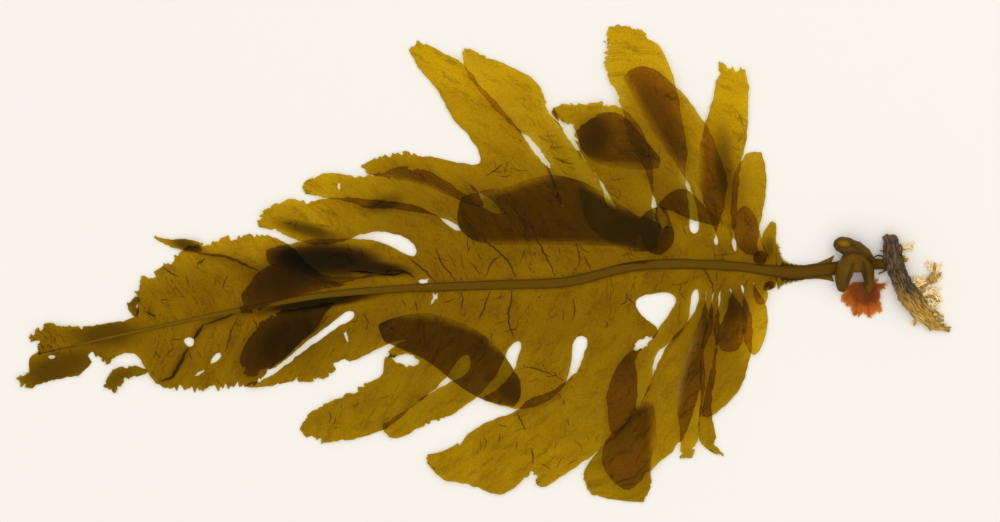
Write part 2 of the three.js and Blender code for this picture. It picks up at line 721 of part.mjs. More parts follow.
// A narrow strip along one edge of the stipe, toothed beside the blade and flaring at its other end
function addWing(name, side) {
  const TEETH = 5;
  const TOOTH = 2.2;
  const REACH = 1.7;
  const NARROW = 0.6;
  const from = BLADE_START + 5.5;
  const edge = (x) => strapAt(x).half + SEAM;
  const outer = [];
  for (let k = 0; k < TEETH; k++) {
    const x = from + k * TOOTH;
    outer.push([x, edge(x) + NARROW], [x + TOOTH / 2, edge(x) + NARROW + REACH * (1 - k / TEETH)]);
  }
  const FLARE = [[160, NARROW], [167, 1], [172, 2.4], [175.5, 3.8]];
  outer.push(...FLARE.map(([x, wide]) => [x, edge(x) + wide]));
  const inner = [];
  for (let x = 174; x > from; x -= 6.5) inner.push([x, edge(x)]);
  inner.push([from, edge(from)]);
  const outline = [...outer, ...inner].map(([x, off]) => new THREE.Vector2(x, stipeY(x) + side * off));
  const strip = new THREE.ExtrudeGeometry(new THREE.Shape(outline), { depth: LAMINA, bevelEnabled: false });
  addPiece(name, strip, OLIVE);
}

// The sporophyll: a fleshy frill folded over the stipe, with one lobe along it, two that hang down
// and a saddle between them
function addSporophyll() {
  const SIDES = 10;
  const along = [
    { at: [195.2, -1, 5.2], wide: 1.4, high: 1.2 },
    { at: [192.7, 1, 6], wide: 3, high: 2.4 },
    { at: [189.7, 4, 6.6], wide: 4, high: 3 },
    { at: [185.2, 7.2, 6.8], wide: 4.3, high: 3.2 },
    { at: [180.7, 9, 5.8], wide: 4.3, high: 3 },
    { at: [177.2, 10, 4.6], wide: 3.4, high: 2.4 },
    { at: [175.4, 10.6, 4], wide: 1.6, high: 1.2 },
  ];
  const leftLobe = [
    { at: [187, 6.5, 7.6], wide: 3.4, high: 2.8 },
    { at: [183, 2.5, 8.4], wide: 4.2, high: 3.6 },
    { at: [180.4, -2.5, 7.6], wide: 4.3, high: 3.4 },
    { at: [179.2, -7.5, 5.6], wide: 3.8, high: 2.6 },
    { at: [179, -11.5, 4], wide: 2.6, high: 1.6 },
    { at: [178.6, -13.4, 3.4], wide: 1.4, high: 0.8 },
  ];
  const rightLobe = [
    { at: [186.5, 6, 7.8], wide: 3.2, high: 2.8 },
    { at: [189.4, 2.6, 8.4], wide: 3.4, high: 3.4 },
    { at: [191.8, -2.5, 7.4], wide: 3.1, high: 3.2 },
    { at: [192.4, -8, 5.4], wide: 2.5, high: 2.4 },
    { at: [192.4, -12, 3.9], wide: 1.6, high: 1.5 },
    { at: [192.4, -14, 3.3], wide: 0.8, high: 0.7 },
  ];
  const saddle = [
    { at: [186.8, 6, 7.4], wide: 3.4, high: 2.6 },
    { at: [186.6, 1.5, 7.8], wide: 4, high: 3 },
    { at: [186.4, -3.4, 6.6], wide: 3, high: 2.2 },
  ];
  const folds = [along, leftLobe, rightLobe, saddle].map((stations) => taperedGeometry(stations, SIDES));
  addPiece("sporophyll", grownTogether(folds), DARK_OLIVE);
}

// The holdfast: a gnarled root that tapers to a strip, with knobs and branching haptera
function addHoldfast() {
  const core = [
    { at: [204.2, 14, 2.6], wide: 2.2, high: 2.2 },
    { at: [203.6, 9.5, 4], wide: 3.8, high: 3.6 },
    { at: [204, 3, 4.4], wide: 4.4, high: 4.2 },
    { at: [207.2, -5, 4.4], wide: 4.2, high: 4.2 },
    { at: [212.2, -15, 4.2], wide: 5.4, high: 4 },
    { at: [218.2, -24, 3.2], wide: 4.6, high: 3 },
    { at: [225.2, -30.5, 1.8], wide: 2.6, high: 1.7 },
    { at: [233, -33.5, 0.8], wide: 0.7, high: 0.7 },
  ];
  const knobs = [
    [202.2, 12, 4.6, 2.6], [206.6, 7.5, 5.4, 2.8], [204.8, -1, 6.4, 3], [209.6, -8, 6, 3],
    [211.8, -19, 5.6, 2.8], [216, -14.5, 4.6, 3], [219.6, -20.5, 4, 2.6],
  ];
  const haptera = [
    [[206, 6, 3.5], [211, 8, 2], [214.5, 8.8, 1.2]],
    [[206.5, 4, 3], [210, 3.4, 1.6], [211.6, 2, 1]],
    [[215, -15, 3], [221.5, -10, 2.2], [224.8, -5.5, 1.4], [225.8, 1, 0.9]],
    [[221.5, -10, 2], [226, -7.6, 1.4], [229, -4, 0.9]],
    [[217, -17, 2.6], [224.5, -16, 1.8], [228.4, -19, 1]],
    [[219, -23, 2.4], [225.5, -23.5, 1.4], [230, -26.5, 0.9]],
    [[217, -25, 2], [215.8, -28.5, 1.2], [215.2, -31, 0.9]],
    [[221, -27, 1.8], [222.6, -30.5, 1.2], [223.6, -33.5, 0.8]],
  ];
  const THICK = 1.1;
  const THIN = 0.6;
  const branches = haptera.map((places) => {
    const stations = places.map((at, k) => {
      const r = THREE.MathUtils.lerp(THICK, THIN, k / (places.length - 1));
      return { at, wide: r, high: r };
    });
    return taperedGeometry(stations, 6);
  });
  const lumps = knobs.map(([x, y, z, r]) => new THREE.IcosahedronGeometry(r, 1).translate(x, y, z));
  addPiece("holdfast", grownTogether([taperedGeometry(core, 10), ...lumps, ...branches]), ROOT_BROWN);
}

// The red alga: a flat spiky fan under the sporophyll
function addRedAlga() {
  const DEPTH = 1.5;
  const OUTLINE = [
    [202, -8.5], [198, -12.5], [200.5, -18], [197.5, -20.5], [199, -26], [195, -23.5], [192.5, -28.5],
    [190.5, -24.5], [186.5, -27.5], [185.5, -22.5], [179.5, -20.5], [183.5, -17.5], [181, -14],
    [185, -13.5], [185.5, -8.5], [192, -10],
  ];
  const fan = new THREE.Shape(OUTLINE.map(point));
  addPiece("red_alga", new THREE.ExtrudeGeometry(fan, { depth: DEPTH, bevelEnabled: false }), ALGA_RED);
}

// Every sheet of the blade, laid one on another
function addBlade() {
  const byName = (pieces) => Object.fromEntries(pieces.map((piece) => [piece.name, piece]));
  const lobes = byName([...UPPER_LOBES, ...LOWER_LOBES]);
  const fingers = byName(FINGERS);
  const pleats = byName(PLEATS);
  const grids = {};
  const layLobe = (lobe) => {
    const blade = grids[lobe.name.startsWith("upper") ? "blade_upper" : "blade_lower"];
    const grid = lobeGrid(lobe, facetsAcross(lobe));
    clearRoot(grid);
    return lay(grid, lobe.rootColumns.map((k) => blade.at(-1)[k].z));
  };
  const layFinger = ({ parent, rows, left, right, tip }) => {
    const edge = grids[parent].slice(rows[0], rows[1] + 1).map((row) => row[0]);
    const ends = [edge[0], edge.at(-1)].map(({ x, y }) => [x, y]);
    const grid = lobeGrid({ left: [ends[0], ...left], right: [ends[1], ...right], tip }, edge.length - 1);
    grid[0].forEach((p, j) => p.copy(edge[j]));
    clearRoot(grid);
    return lay(grid, edge.map((p) => p.z));
  };
  for (const name of LAYING_ORDER) {
    if (name === "stipe_and_midrib") addStipe();
    else if (name === "blade_upper") grids[name] = lay(bladeGrid(UPPER_LOBES, UPPER_TIP_MARGIN, 1));
    else if (name === "blade_lower") grids[name] = lay(bladeGrid(LOWER_LOBES, LOWER_TIP_MARGIN, -1));
    else if (lobes[name]) grids[name] = layLobe(lobes[name]);
    else if (fingers[name]) grids[name] = layFinger(fingers[name]);
    else grids[name] = lay(lobeGrid(pleats[name], facetsAcross(pleats[name])));
    if (grids[name]) addPiece(name, sheetGeometry(grids[name]), OLIVE);
  }
}

addBlade();
addWing("stipe_wing_upper", 1);
addWing("stipe_wing_lower", -1);
addSporophyll();
addHoldfast();
addRedAlga();

// The origin is under the middle of the frond.
const middle = new THREE.Box3().setFromObject(frond).getCenter(new THREE.Vector3());
frond.position.set(-middle.x, -middle.y, 0);

export default frond;
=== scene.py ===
"""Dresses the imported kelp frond: wet translucent blade, midrib, sporophyll, holdfast and red alga."""

import math
import random

import bmesh
import bpy
import numpy as np
from bpy.props import FloatProperty, FloatVectorProperty, IntProperty, PointerProperty
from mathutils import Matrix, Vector, kdtree
from mathutils.bvhtree import BVHTree


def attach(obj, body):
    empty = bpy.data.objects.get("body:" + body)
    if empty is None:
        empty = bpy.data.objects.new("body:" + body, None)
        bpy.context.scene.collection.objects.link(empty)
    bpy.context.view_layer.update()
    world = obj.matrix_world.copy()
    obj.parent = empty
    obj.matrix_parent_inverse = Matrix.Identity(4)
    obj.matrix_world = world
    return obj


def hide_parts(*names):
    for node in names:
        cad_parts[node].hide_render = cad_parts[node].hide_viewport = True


bl_info = {
    "name": "Kelp frond",
    "version": (1, 0, 0),
    "blender": (4, 5, 0),
    "location": "View3D > Sidebar > Kelp",
    "description": "Builds the wet kelp frond over its packed solids",
    "category": "Add Mesh",
}

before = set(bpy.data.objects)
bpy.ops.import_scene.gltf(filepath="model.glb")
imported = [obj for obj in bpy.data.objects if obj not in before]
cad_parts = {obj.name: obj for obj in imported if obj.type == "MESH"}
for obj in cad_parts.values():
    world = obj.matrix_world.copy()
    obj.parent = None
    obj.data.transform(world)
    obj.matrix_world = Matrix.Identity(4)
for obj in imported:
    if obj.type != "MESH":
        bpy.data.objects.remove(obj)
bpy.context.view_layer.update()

MM = 0.001
BODY = "root"
BLADE_THICKNESS = 0.42 * MM
HAPTERON = 1.1 * MM
OVERLAP = 0.15 * MM  # how far each half of the blade goes on past the middle line
MERGE = 0.002 * MM  # corners closer than this are one corner of a solid
ABOVE_ALL = 0.1  # a height over everything, from which the way down is searched
SIDES = ("upper", "lower")
PLEAT_PREFIXES = ("tucked_pleat", "folded_flap", "torn_")
FINGER_PARENTS = {"upper_finger": "upper_lobe_7", "lower_finger": "lower_lobe_8"}

# The photograph's frame: its size in pixels, and how much of the surface one pixel covers
PHOTO_WIDE = 1000
PHOTO_HIGH = 522
PIXEL = 0.5 * MM
PHOTO_CENTRE = (8.37 * MM, 1.11 * MM)


def photo_place(px, py):
    """The place in the frond's own frame, in metres, that a pixel of the photograph shows."""
    x = PHOTO_CENTRE[0] + (px - PHOTO_WIDE / 2) * PIXEL
    y = PHOTO_CENTRE[1] - (py - PHOTO_HIGH / 2) * PIXEL
    return x, y


def photo_line(pixels):
    """Pixels of the photograph as places in plan."""
    return np.array([photo_place(*p) for p in pixels])


def photo_path(pixels, height):
    """Pixels of the photograph as places in space, all at one height."""
    return [(*photo_place(*p), height) for p in pixels]


# Large odd numbers that scatter the values on the lattice of the noise
SCATTER = (374761393, 668265263, 1442695041, 1274126177)

# Wet tissue bends and mirrors light very little
WET_IOR = 1.08
LIGHT_BOUNCES = 24  # enough for light to pass through several sheets and back

# How far wrinkles lean towards the tip for each millimetre outwards, and how fast that grows
LEAN = 0.4
BEND = 0.004

# How far the blade's two halves go on side by side past the midrib's end
TIP_REACH = 40 * MM

# Creases pinched up out of the blade: for each its half width in millimetres, then its path in pixels
CREASES = {
    "tip_upper": (0.9, [(194, 252), (210, 255), (225, 256), (240, 262), (262, 272)]),
    "tip_lower": (1.2, [(160, 381), (170, 379), (176, 372), (183, 357), (191, 344), (197, 334), (203, 325)]),
    "tip_lower_end": (0.5, [(203, 325), (214, 321), (228, 317), (242, 306)]),
    "tip_short": (0.4, [(226, 352), (231, 332), (238, 317)]),
    "tip_mark": (0.7, [(197, 265), (201, 262), (205, 259)]),
    "tip_edge": (0.5, [(161, 265), (167, 271), (173, 274), (179, 277)]),
    "tip_vein": (0.4, [(142, 311), (149, 313), (157, 317)]),
    "web_fork": (0.6, [(482, 232), (488, 244), (497, 250), (505, 258), (510, 264), (513, 271), (516, 278)]),
    "web_branch": (0.5, [(503, 255), (496, 258), (491, 262), (488, 270), (486, 277)]),
    "web_left": (0.5, [(436, 248), (439, 258), (443, 266), (450, 273), (456, 281)]),
    "web_far": (0.5, [(404, 252), (414, 262), (424, 270), (431, 277), (437, 284)]),
    "web_end": (0.6, [(394, 270), (403, 271), (410, 274), (416, 279)]),
    "web_small": (0.4, [(470, 262), (475, 267), (480, 275)]),
    "web_long": (0.5, [(533, 232), (538, 242), (543, 251), (547, 259), (551, 267), (555, 276)]),
    "web_right": (0.5, [(576, 243), (579, 252), (580, 261), (578, 268)]),
    "web_last": (0.4, [(584, 256), (588, 264), (592, 271)]),
    "lower_1": (0.4, [(461, 291), (463, 300), (461, 311)]),
    "lower_2": (0.5, [(491, 291), (486, 300), (484, 309), (479, 320)]),
    "lower_3": (0.6, [(511, 290), (512, 300), (508, 312), (509, 325), (514, 338)]),
    "lower_4": (0.4, [(573, 299), (575, 312), (573, 320)]),
    "lower_5": (0.5, [(703, 269), (709, 276), (713, 286), (712, 304), (711, 322)]),
    "lobe_6_root": (0.5, [(556, 158), (566, 163), (578, 164), (590, 161)]),
    "lobe_7_root": (0.5, [(486, 176), (494, 171), (503, 164)]),
    "lobe_9_fold": (0.7, [(384, 200), (374, 207), (360, 206)]),
    "distal_web": (0.6, [(408, 271), (394, 275), (380, 275), (366, 272), (350, 271)]),
    "finger_fold": (0.5, [(516, 412), (521, 420), (525, 430)]),
    "lower_tip": (0.6, [(531, 447), (533.5, 456), (533, 464)]),
    "lobe_9_root": (0.4, [(522, 366), (538, 369), (556, 376)]),
}

# Zones of fine wrinkles: middle, half axes and turn as for a hole, the wrinkles' slope in degrees, and
# how many there are
WRINKLES = {
    "lobe_6": (543, 122, 15, 38, 25, -58, 16),
    "lobe_6_root": (562, 162, 24, 7, 0, -10, 8),
    "lobe_7_root": (492, 170, 26, 9, 0, 30, 10),
    "lobe_5_root": (600, 186, 22, 18, 0, -65, 12),
    "lobe_8": (566, 400, 30, 42, 0, -75, 6),
    "lobe_8_tip": (568, 452, 30, 16, 30, 78, 9),
    "lobe_9": (540, 372, 26, 12, 0, -10, 8),
    "lower_finger": (498, 442, 30, 20, 20, 60, 8),
    "lobe_4": (652, 110, 20, 50, -12, -80, 3),
    "lobe_2": (735, 150, 12, 40, 0, -85, 8),
    "lobe_11": (360, 410, 40, 14, 28, 40, 8),
    "lobe_9_tip": (310, 214, 40, 12, 0, -20, 8),
    "torn_tip": (190, 290, 46, 40, 0, -25, 9),
    "torn_tail": (62, 342, 30, 10, 0, -70, 12),
    "torn_edge": (210, 360, 60, 20, -10, -30, 7),
}
# Wrinkles that start beside the midrib: how many, and their lean towards the tip in degrees
ALONG_MIDRIB = {"upper": (46, 28.0), "lower": (40, 12.0)}

STIPE_END = (890, 265.5)  # where the stipe enters the holdfast, in pixels
FULL_MIDRIB = 0.62  # share of the blade's length over which the midrib grows to its full size

# Holes and tears, as centre and half axes in the photograph's pixels, with a turn in degrees
HOLES = {
    "web_slit": (423, 281.5, 5.2, 1.8, 0),
    "web_nick": (433, 300, 1.3, 5.0, -22),
    "lobe_nick": (339, 186, 1.3, 4.2, 0),
    "lower_nick": (346, 336, 1.3, 6.6, 18),
    "tip_hole": (189, 342, 4.6, 4.4, 20),
    "tip_tear": (216, 358, 6.4, 3.2, 48),
    "tip_tear_tail": (200, 373, 6.4, 1.2, 32),
    "tail_hole": (52, 357, 3.2, 1.8, 0),
    "root_hole": (407, 360, 14.0, 6.0, -12),
    "tail_notch": (35, 343, 6.5, 2.2, 8),
    "tail_nick_1": (64, 324, 5.0, 1.8, -14),
    "tail_nick_2": (81, 326, 1.5, 4.0, 12),
    "tail_gap": (94, 360, 3.4, 9.0, 28),
    "margin_nick_1": (171, 259, 3.6, 5.0, 0),
    "margin_nick_2": (136, 288, 4.0, 3.0, 0),
    "lower_tip_nick": (532, 478, 4.6, 6.0, -14),
    "upper_tip_nick": (605, 38, 2.2, 5.0, 25),
    "twist_nick": (642.5, 343.5, 10.0, 4.2, 33),
    "slot_6": (537, 151, 25.0, 3.0, -53),
    "slot_5": (569, 136, 21.0, 2.6, -58),
}
FLAP_WINDOW = (662, 218, 4.0, 10.5, 18)

# Lobe tips that are worn ragged, as a place and a reach in the photograph's pixels
RAGGED_TIPS = [
    (412, 47, 16), (730, 62, 24), (308, 186, 18), (270, 215, 24), (318, 440, 32), (606, 40, 26),
    (432, 460, 22), (36, 345, 44), (20, 378, 22), (110, 380, 30), (200, 385, 44), (262, 306, 20),
    (365, 164, 22), (150, 270, 44), (688, 455, 16), (720, 452, 16), (582, 104, 44), (244, 316, 20),
    (252, 384, 30), (590, 490, 20), (225, 236, 44), (310, 382, 32), (640, 28, 24), (650, 490, 20),
    (140, 300, 30), (335, 366, 18), (440, 440, 26), (365, 405, 30), (480, 44, 22), (395, 152, 34),
]

TORN_END = 160  # pixels from the left within which every margin is torn

# Places where the margins reach out over a gap: a place and a reach in pixels, and how far in millimetres
CLOSED_GAPS = [
    (381, 270, 20, 0.55), (478, 194, 24, 1.7), (653, 222, 16, 1.4), (560, 203, 12, 1.2), (137, 304, 16, 1.8),
]

# Stains and films of a second thin layer, as centre, half axes, turn and strength
STAINS = {
    "tail_film": (106, 334, 36, 15, 5, 0.55),
    "tail_roll": (58, 368, 42, 16, 18, 0.6),
    "tip_fold_upper": (228, 261, 40, 4.5, -18, 0.4),
    "tip_fold_lower": (186, 352, 38, 5.0, 57, 0.4),
    "tip_fold_end": (222, 318, 26, 5.0, 22, 0.4),
    "shred": (186, 244, 16, 7, -15, 0.8),
    "dark_fold": (328, 260, 48, 14.5, -3, 1.9),
    "dark_fold_side": (372, 268, 36, 7.0, -5, 1.5),
    "dark_fold_end": (284, 276, 36, 24, 30, 0.36),
    "under_rib": (320, 302, 58, 6.5, 9, 1.5),
    "lobe_13": (290, 338, 50, 24, 32, 0.5),
    "lobe_9_fold": (386, 203, 20, 8, 22, 0.5),
    "fold_strip": (308, 230, 30, 7, -14, 0.75),
    "pleat_core": (594, 135, 18, 24, 0, 0.4),
    "lobe_2_fold": (725, 165, 10, 38, 5, 0.55),
    "lobe_1_fold": (743, 185, 6, 26, -8, 0.25),
    "lobe_4_fold": (657, 118, 16, 54, 28, 0.2),
    "finger_root": (508, 390, 14, 10, -45, 0.35),
    "base_pleat": (736, 302, 18, 18, 0, 0.38),
    "torn_flap": (120, 376, 18, 7, 30, 0.3),
    "fold_start": (250, 272, 16, 10, 0, 0.3),
    "bud_fold": (770, 247, 5, 11, 0, 0.5),
}

# Margins under the sheet above them, painted clear towards the edge so the overlap's shade fades like a soft
# shadow: by piece, as centre, half axes and turn
SOFT_SHADOW_MARGINS = {
    "pleats": [
        (545, 246, 74, 8, 0), (616, 250, 22, 8, -3), (516, 187, 40, 8, 16), (610, 200, 30, 8, -32),
        (622, 164, 40, 9, 0), (655, 438, 7, 38, 0), (640, 402, 18, 8, 0), (446, 320, 66, 9, -12),
        (496, 342, 16, 7, -48),
    ],
    "upper": [(648, 118, 62, 9, -58), (700, 166, 6, 30, 0), (420, 186, 32, 5, -17)],
    "lower": [(684, 372, 6, 50, -16)],
}

# Grooves of the sporophyll's folds, along the photograph's pixels, each with its depth in millimetres
GROOVES = {
    "under_roll": (1.0, [(840, 257), (850, 252), (860, 254), (872, 262)]),
    "left_lobe": (0.5, [(852, 264), (849, 272), (846, 282)]),
    "right_lobe": (0.5, [(862, 262), (864, 274), (866, 284)]),
    "roll": (0.5, [(848, 243), (858, 250), (868, 258)]),
}
CUP = (843, 243, 5.4, 3.0, -6)  # the hollow in the end of its roll, as a hole

# The holdfast's middle line, then its haptera: for each its radius at the root in millimetres, and its places
# as pixels and a height in millimetres
HOLDFAST_LINE = [(892, 236), (891, 250), (896, 270), (905, 290), (919, 309), (934, 322), (950, 331)]
HAPTERA = [
    (0.75, [(898, 250, 3.4), (905, 247, 2.2), (912, 248, 1.2)]),
    (0.5, [(906, 247, 2.2), (909, 245, 1.8), (912, 245, 1.2)]),
    (0.8, [(899, 253, 3.2), (903, 255, 2.0), (905.5, 259, 1.0)]),
    (0.8, [(912, 291, 3.2), (922, 284, 2.4), (930, 281, 1.8), (934, 273, 1.4), (933, 266, 1.1),
           (931, 262, 0.8)]),
    (0.5, [(934, 273, 1.4), (938, 269, 1.1), (941, 265, 0.8)]),
    (0.45, [(933, 271, 1.3), (929, 268, 1.1), (926, 264, 0.8)]),
    (0.5, [(930, 281, 1.8), (936, 280, 1.3), (940, 277, 0.8)]),
    (0.6, [(922, 284, 2.4), (918, 280, 1.8), (916, 277, 1.2)]),
    (0.8, [(918, 297, 2.8), (929, 291, 2.0), (936, 287, 1.4), (940, 288, 0.9)]),
    (0.6, [(929, 291, 2.0), (935, 296, 1.5), (940, 299, 1.1), (939, 304, 0.8)]),
    (0.7, [(922, 306, 2.4), (932, 303, 1.6), (938, 306, 0.9)]),
    (0.6, [(914, 285, 2.4), (919, 284, 1.8), (924, 280, 1.4), (927, 276, 1.0)]),
    (0.6, [(916, 289, 2.4), (923, 288, 1.8), (930, 286, 1.2)]),
    (0.6, [(920, 300, 2.2), (927, 298, 1.6), (933, 300, 1.2), (936, 303, 0.8)]),
    (0.5, [(924, 293, 1.8), (930, 295, 1.4), (934, 292, 1.0), (938, 293, 0.8)]),
    (0.5, [(912, 283, 2.2), (916, 280, 1.6), (921, 278, 1.1)]),
    (0.5, [(926, 301, 1.6), (930, 306, 1.1), (934, 308, 0.8)]),
    (0.6, [(930, 312, 1.6), (936, 313, 1.1), (940, 317, 0.8)]),
    (0.55, [(921, 316, 2.0), (917, 320, 1.3), (914, 323, 0.8)]),
    (0.55, [(923, 318, 1.8), (926, 324, 1.2), (929, 328, 0.8)]),
]

# Margins of the holdfast with torn stubs: height and length in millimetres, then the path, with its free
# side on the left
ROOT_MARGINS = [
    (2.4, 1.6, [(894, 240), (897, 250), (899, 259), (903, 269), (908, 279), (914, 290), (918, 298)]),
    (1.2, 2.2, [(914, 298), (922, 306), (931, 314), (940, 322), (947, 328)]),
    (1.0, 1.4, [(940, 329), (928, 325), (919, 317), (910, 306)]),
]
# Torn brown threads between the stipe's end and the holdfast, as the haptera
NECK_THREADS = [
    (0.9, [(889, 262, 3.2), (882, 256, 2.6), (876, 255, 1.8), (872, 259, 1.2)]),
    (0.9, [(889, 266, 2.8), (881, 266, 2.2), (874, 268, 1.6), (871, 265, 1.2)]),
    (0.7, [(887, 258, 3.0), (880, 260, 2.8), (874, 262, 2.2)]),
    (0.8, [(888, 270, 2.2), (883, 271, 1.6), (879, 274, 1.0)]),
    (0.7, [(890, 252, 3.0), (884, 252, 2.4), (880, 250, 1.6)]),
    (0.8, [(892, 243, 3.0), (887, 243, 2.6), (884, 240, 1.8)]),
]
ROOT_FIBRES = 56

# Tones of the root's strands: cream, brown, and below nothing for the tone of the root beside them
CREAM_TONE = 2.0
NECK_TONE = 0.12
BESIDE_TONE = -1.0

# Stems of the red alga, from its root to its tips, and the margin of its fan
ALGA_STEMS = [
    [(856, 282), (850, 292), (844, 302)],
    [(858, 286), (856, 300), (856, 315)],
    [(862, 286), (868, 302), (869, 317)],
    [(864, 286), (874, 298), (881, 311)],
    [(864, 286), (876, 287), (887, 282)],
]
ALGA_ROOT = (862, 282)
ALGA_MARGIN = [
    (846, 286), (841, 297), (843, 304), (850, 307), (852, 313), (856, 317), (861, 316), (865, 313),
    (869, 318), (873, 314), (878, 312), (882, 312), (881, 304), (878, 297), (882, 291), (888, 284),
]
ALGA_FANS = [(0.0, 1.07, 0.7, 4), (0.3, 0.72, 2.0, 6), (-0.25, 0.6, 3.2, 9)]  # turn, size, height in mm, seed
ALGA_STEM_HEIGHTS = (2.2, 1.8, 1.0)  # millimetres, from the root to the tips
ALGA_DEEP = (848, 872)  # pixels across, between which the red grows deep
ALGA_FRINGE = 304  # pixels down, past which the fringe is bright

# Frills of the stipe beside the blade: the toothed edge, and the line along which each grows from the stipe
FRILLS = [
    (
        [(777, 244), (778.5, 250), (780, 256), (783, 261), (788, 264), (795, 265.8), (804, 267)],
        [(776, 246), (776, 254), (776, 261), (778, 267), (785, 267.6), (793, 268), (804, 268.4)],
    ),
    (
        [(804, 279.3), (796, 280.3), (788, 281.6), (781, 284), (777.5, 288)],
        [(804, 277.4), (796, 277.2), (788, 276.8), (779, 275), (775.5, 278)],
    ),
]

TEETH_FADE = (0.151, 0.165)  # metres along the frond over which the frills' teeth grow small

# Curled tips of the smallest lobes, as a place in pixels, a radius in pixels and a height in millimetres
CURLED_TIPS = [(760, 257.5, 6.6, 3.0), (770, 285, 4.2, 1.8)]


class KELP_PG_blade(bpy.types.PropertyGroup):
    """Sizes and colours of the blade"""

    thickness: FloatProperty(
        name="Thickness", description="Thickness of the blade's sheet",
        default=BLADE_THICKNESS, subtype="DISTANCE",
    )
    levels: IntProperty(
        name="Levels", description="Subdivision of the solids' facets",
        default=2, min=1, max=4,
    )
    settle: FloatProperty(
        name="Settle", description="How far the thinner sheet sinks below the solid's top",
        default=0.12 * MM, subtype="DISTANCE",
    )
    ripple: FloatProperty(
        name="Ripple", description="Height of the ripples beside the midrib",
        default=0.7 * MM, subtype="DISTANCE",
    )
    swell: FloatProperty(
        name="Swell", description="Height of the broad swells of the sheet",
        default=0.8 * MM, subtype="DISTANCE",
    )
    fray: FloatProperty(
        name="Fray", description="Depth of the wear along a lobe's margin",
        default=1.0 * MM, subtype="DISTANCE",
    )
    tip_fray: FloatProperty(
        name="Tip fray", description="Depth of the wear along a torn tip",
        default=2.8 * MM, subtype="DISTANCE",
    )
    teeth: FloatProperty(
        name="Teeth", description="Depth of the small teeth along a torn tip",
        default=2.4 * MM, subtype="DISTANCE",
    )
    spread: FloatProperty(
        name="Spread", description="How far the margin stands outside the smoothed solids",
        default=0.55 * MM, subtype="DISTANCE",
    )
    colour: FloatVectorProperty(
        name="Colour", description="What one sheet lets through",
        default=(0.6, 0.438, 0.004), size=3, subtype="COLOR", min=0.0, max=1.0,
    )
    pleat_colour: FloatVectorProperty(
        name="Pleat colour", description="What a pleat tucked under the blade lets through",
        default=(0.505, 0.382, 0.004), size=3, subtype="COLOR", min=0.0, max=1.0,
    )
    # The paler tint at the lobes' ends, which also carries the painted light over the upper half
    tip_colour: FloatVectorProperty(
        name="Tip colour", description="What a sheet lets through at the ends of the lobes",
        default=(0.895, 0.69, 0.035), size=3, subtype="COLOR", min=0.0, max=1.0,
    )
    crease_colour: FloatVectorProperty(
        name="Crease colour", description="What a creased or stained sheet lets through",
        default=(0.2, 0.12, 0.006), size=3, subtype="COLOR", min=0.0, max=1.0,
    )


class KELP_PG_strap(bpy.types.PropertyGroup):
    """Sizes and colours of the midrib and the stipe"""

    midrib_width: FloatProperty(
        name="Midrib width", description="Width at the blade's base",
        default=4.7 * MM, subtype="DISTANCE",
    )
    midrib_height: FloatProperty(
        name="Midrib height", description="Height over the blade",
        default=1.3 * MM, subtype="DISTANCE",
    )
    stipe_width: FloatProperty(
        name="Stipe width", description="Width of the stipe",
        default=6.6 * MM, subtype="DISTANCE",
    )
    stipe_height: FloatProperty(
        name="Stipe height", description="Height of the stipe",
        default=3.6 * MM, subtype="DISTANCE",
    )
    tip_share: FloatProperty(
        name="Tip share", description="Midrib's size at the tip as a share of its size at the base",
        default=0.22, min=0.1, max=1.0, subtype="FACTOR",
    )
    colour: FloatVectorProperty(
        name="Colour", description="Brown of the midrib and the stipe",
        default=(0.118, 0.058, 0.0004), size=3, subtype="COLOR", min=0.0, max=1.0,
    )
    tip_tone: FloatVectorProperty(
        name="Tip tone", description="Paler brown of the midrib near the blade's tip",
        default=(0.165, 0.088, 0.0015), size=3, subtype="COLOR", min=0.0, max=1.0,
    )


class KELP_PG_growths(bpy.types.PropertyGroup):
    """Sizes of the sporophyll, the holdfast, the red alga and the stipe's frill"""

    voxel: FloatProperty(
        name="Voxel", description="Grain of the fleshy surfaces",
        default=0.4 * MM, subtype="DISTANCE",
    )
    gnarl: FloatProperty(
        name="Gnarl", description="Depth of the holdfast's furrows",
        default=1.3 * MM, subtype="DISTANCE",
    )
    hapteron: FloatProperty(
        name="Hapteron", description="Thickness of a hapteron at its root",
        default=HAPTERON, subtype="DISTANCE",
    )
    leaflet: FloatProperty(
        name="Leaflet", description="Length of the red alga's leaflets",
        default=1.6 * MM, subtype="DISTANCE",
    )
    tooth: FloatProperty(
        name="Tooth", description="Length of the teeth along the stipe's frill",
        default=1.3 * MM, subtype="DISTANCE",
    )


class KELP_PG_stage(bpy.types.PropertyGroup):
    """Camera, floor and light"""

    camera_height: FloatProperty(
        name="Camera height", description="Height of the camera over the surface",
        default=3.0, unit="LENGTH",
    )
    floor_colour: FloatVectorProperty(
        name="Floor colour", description="Pale plain floor",
        default=(0.86, 0.84, 0.8), size=3, subtype="COLOR", min=0.0, max=1.0,
    )
    sky: FloatProperty(
        name="Sky", description="Strength of the soft light from all round",
        default=0.7,
    )
    overhead: FloatProperty(
        name="Overhead", description="Strength of that light straight overhead",
        default=1.25,
    )


def eased(share):
    """A share from 0 to 1 with soft ends."""
    return share * share * (3 - 2 * share)


def lattice_noise(points, cell, seed):
    """Smooth noise from 0 to 1 at 2-D points, on square cells of the given size."""
    grid = points / cell
    low = np.floor(grid).astype(np.int64)
    ease = eased(grid - low)

    def corner(dx, dy):
        h = (low[:, 0] + dx) * SCATTER[0] + (low[:, 1] + dy) * SCATTER[1] + seed * SCATTER[2]
        h = (h ^ (h >> 13)) * SCATTER[3]
        return ((h ^ (h >> 16)) & 0xFFFF) / 0xFFFF

    bottom = corner(0, 0) * (1 - ease[:, 0]) + corner(1, 0) * ease[:, 0]
    top = corner(0, 1) * (1 - ease[:, 0]) + corner(1, 1) * ease[:, 0]
    return bottom * (1 - ease[:, 1]) + top * ease[:, 1]


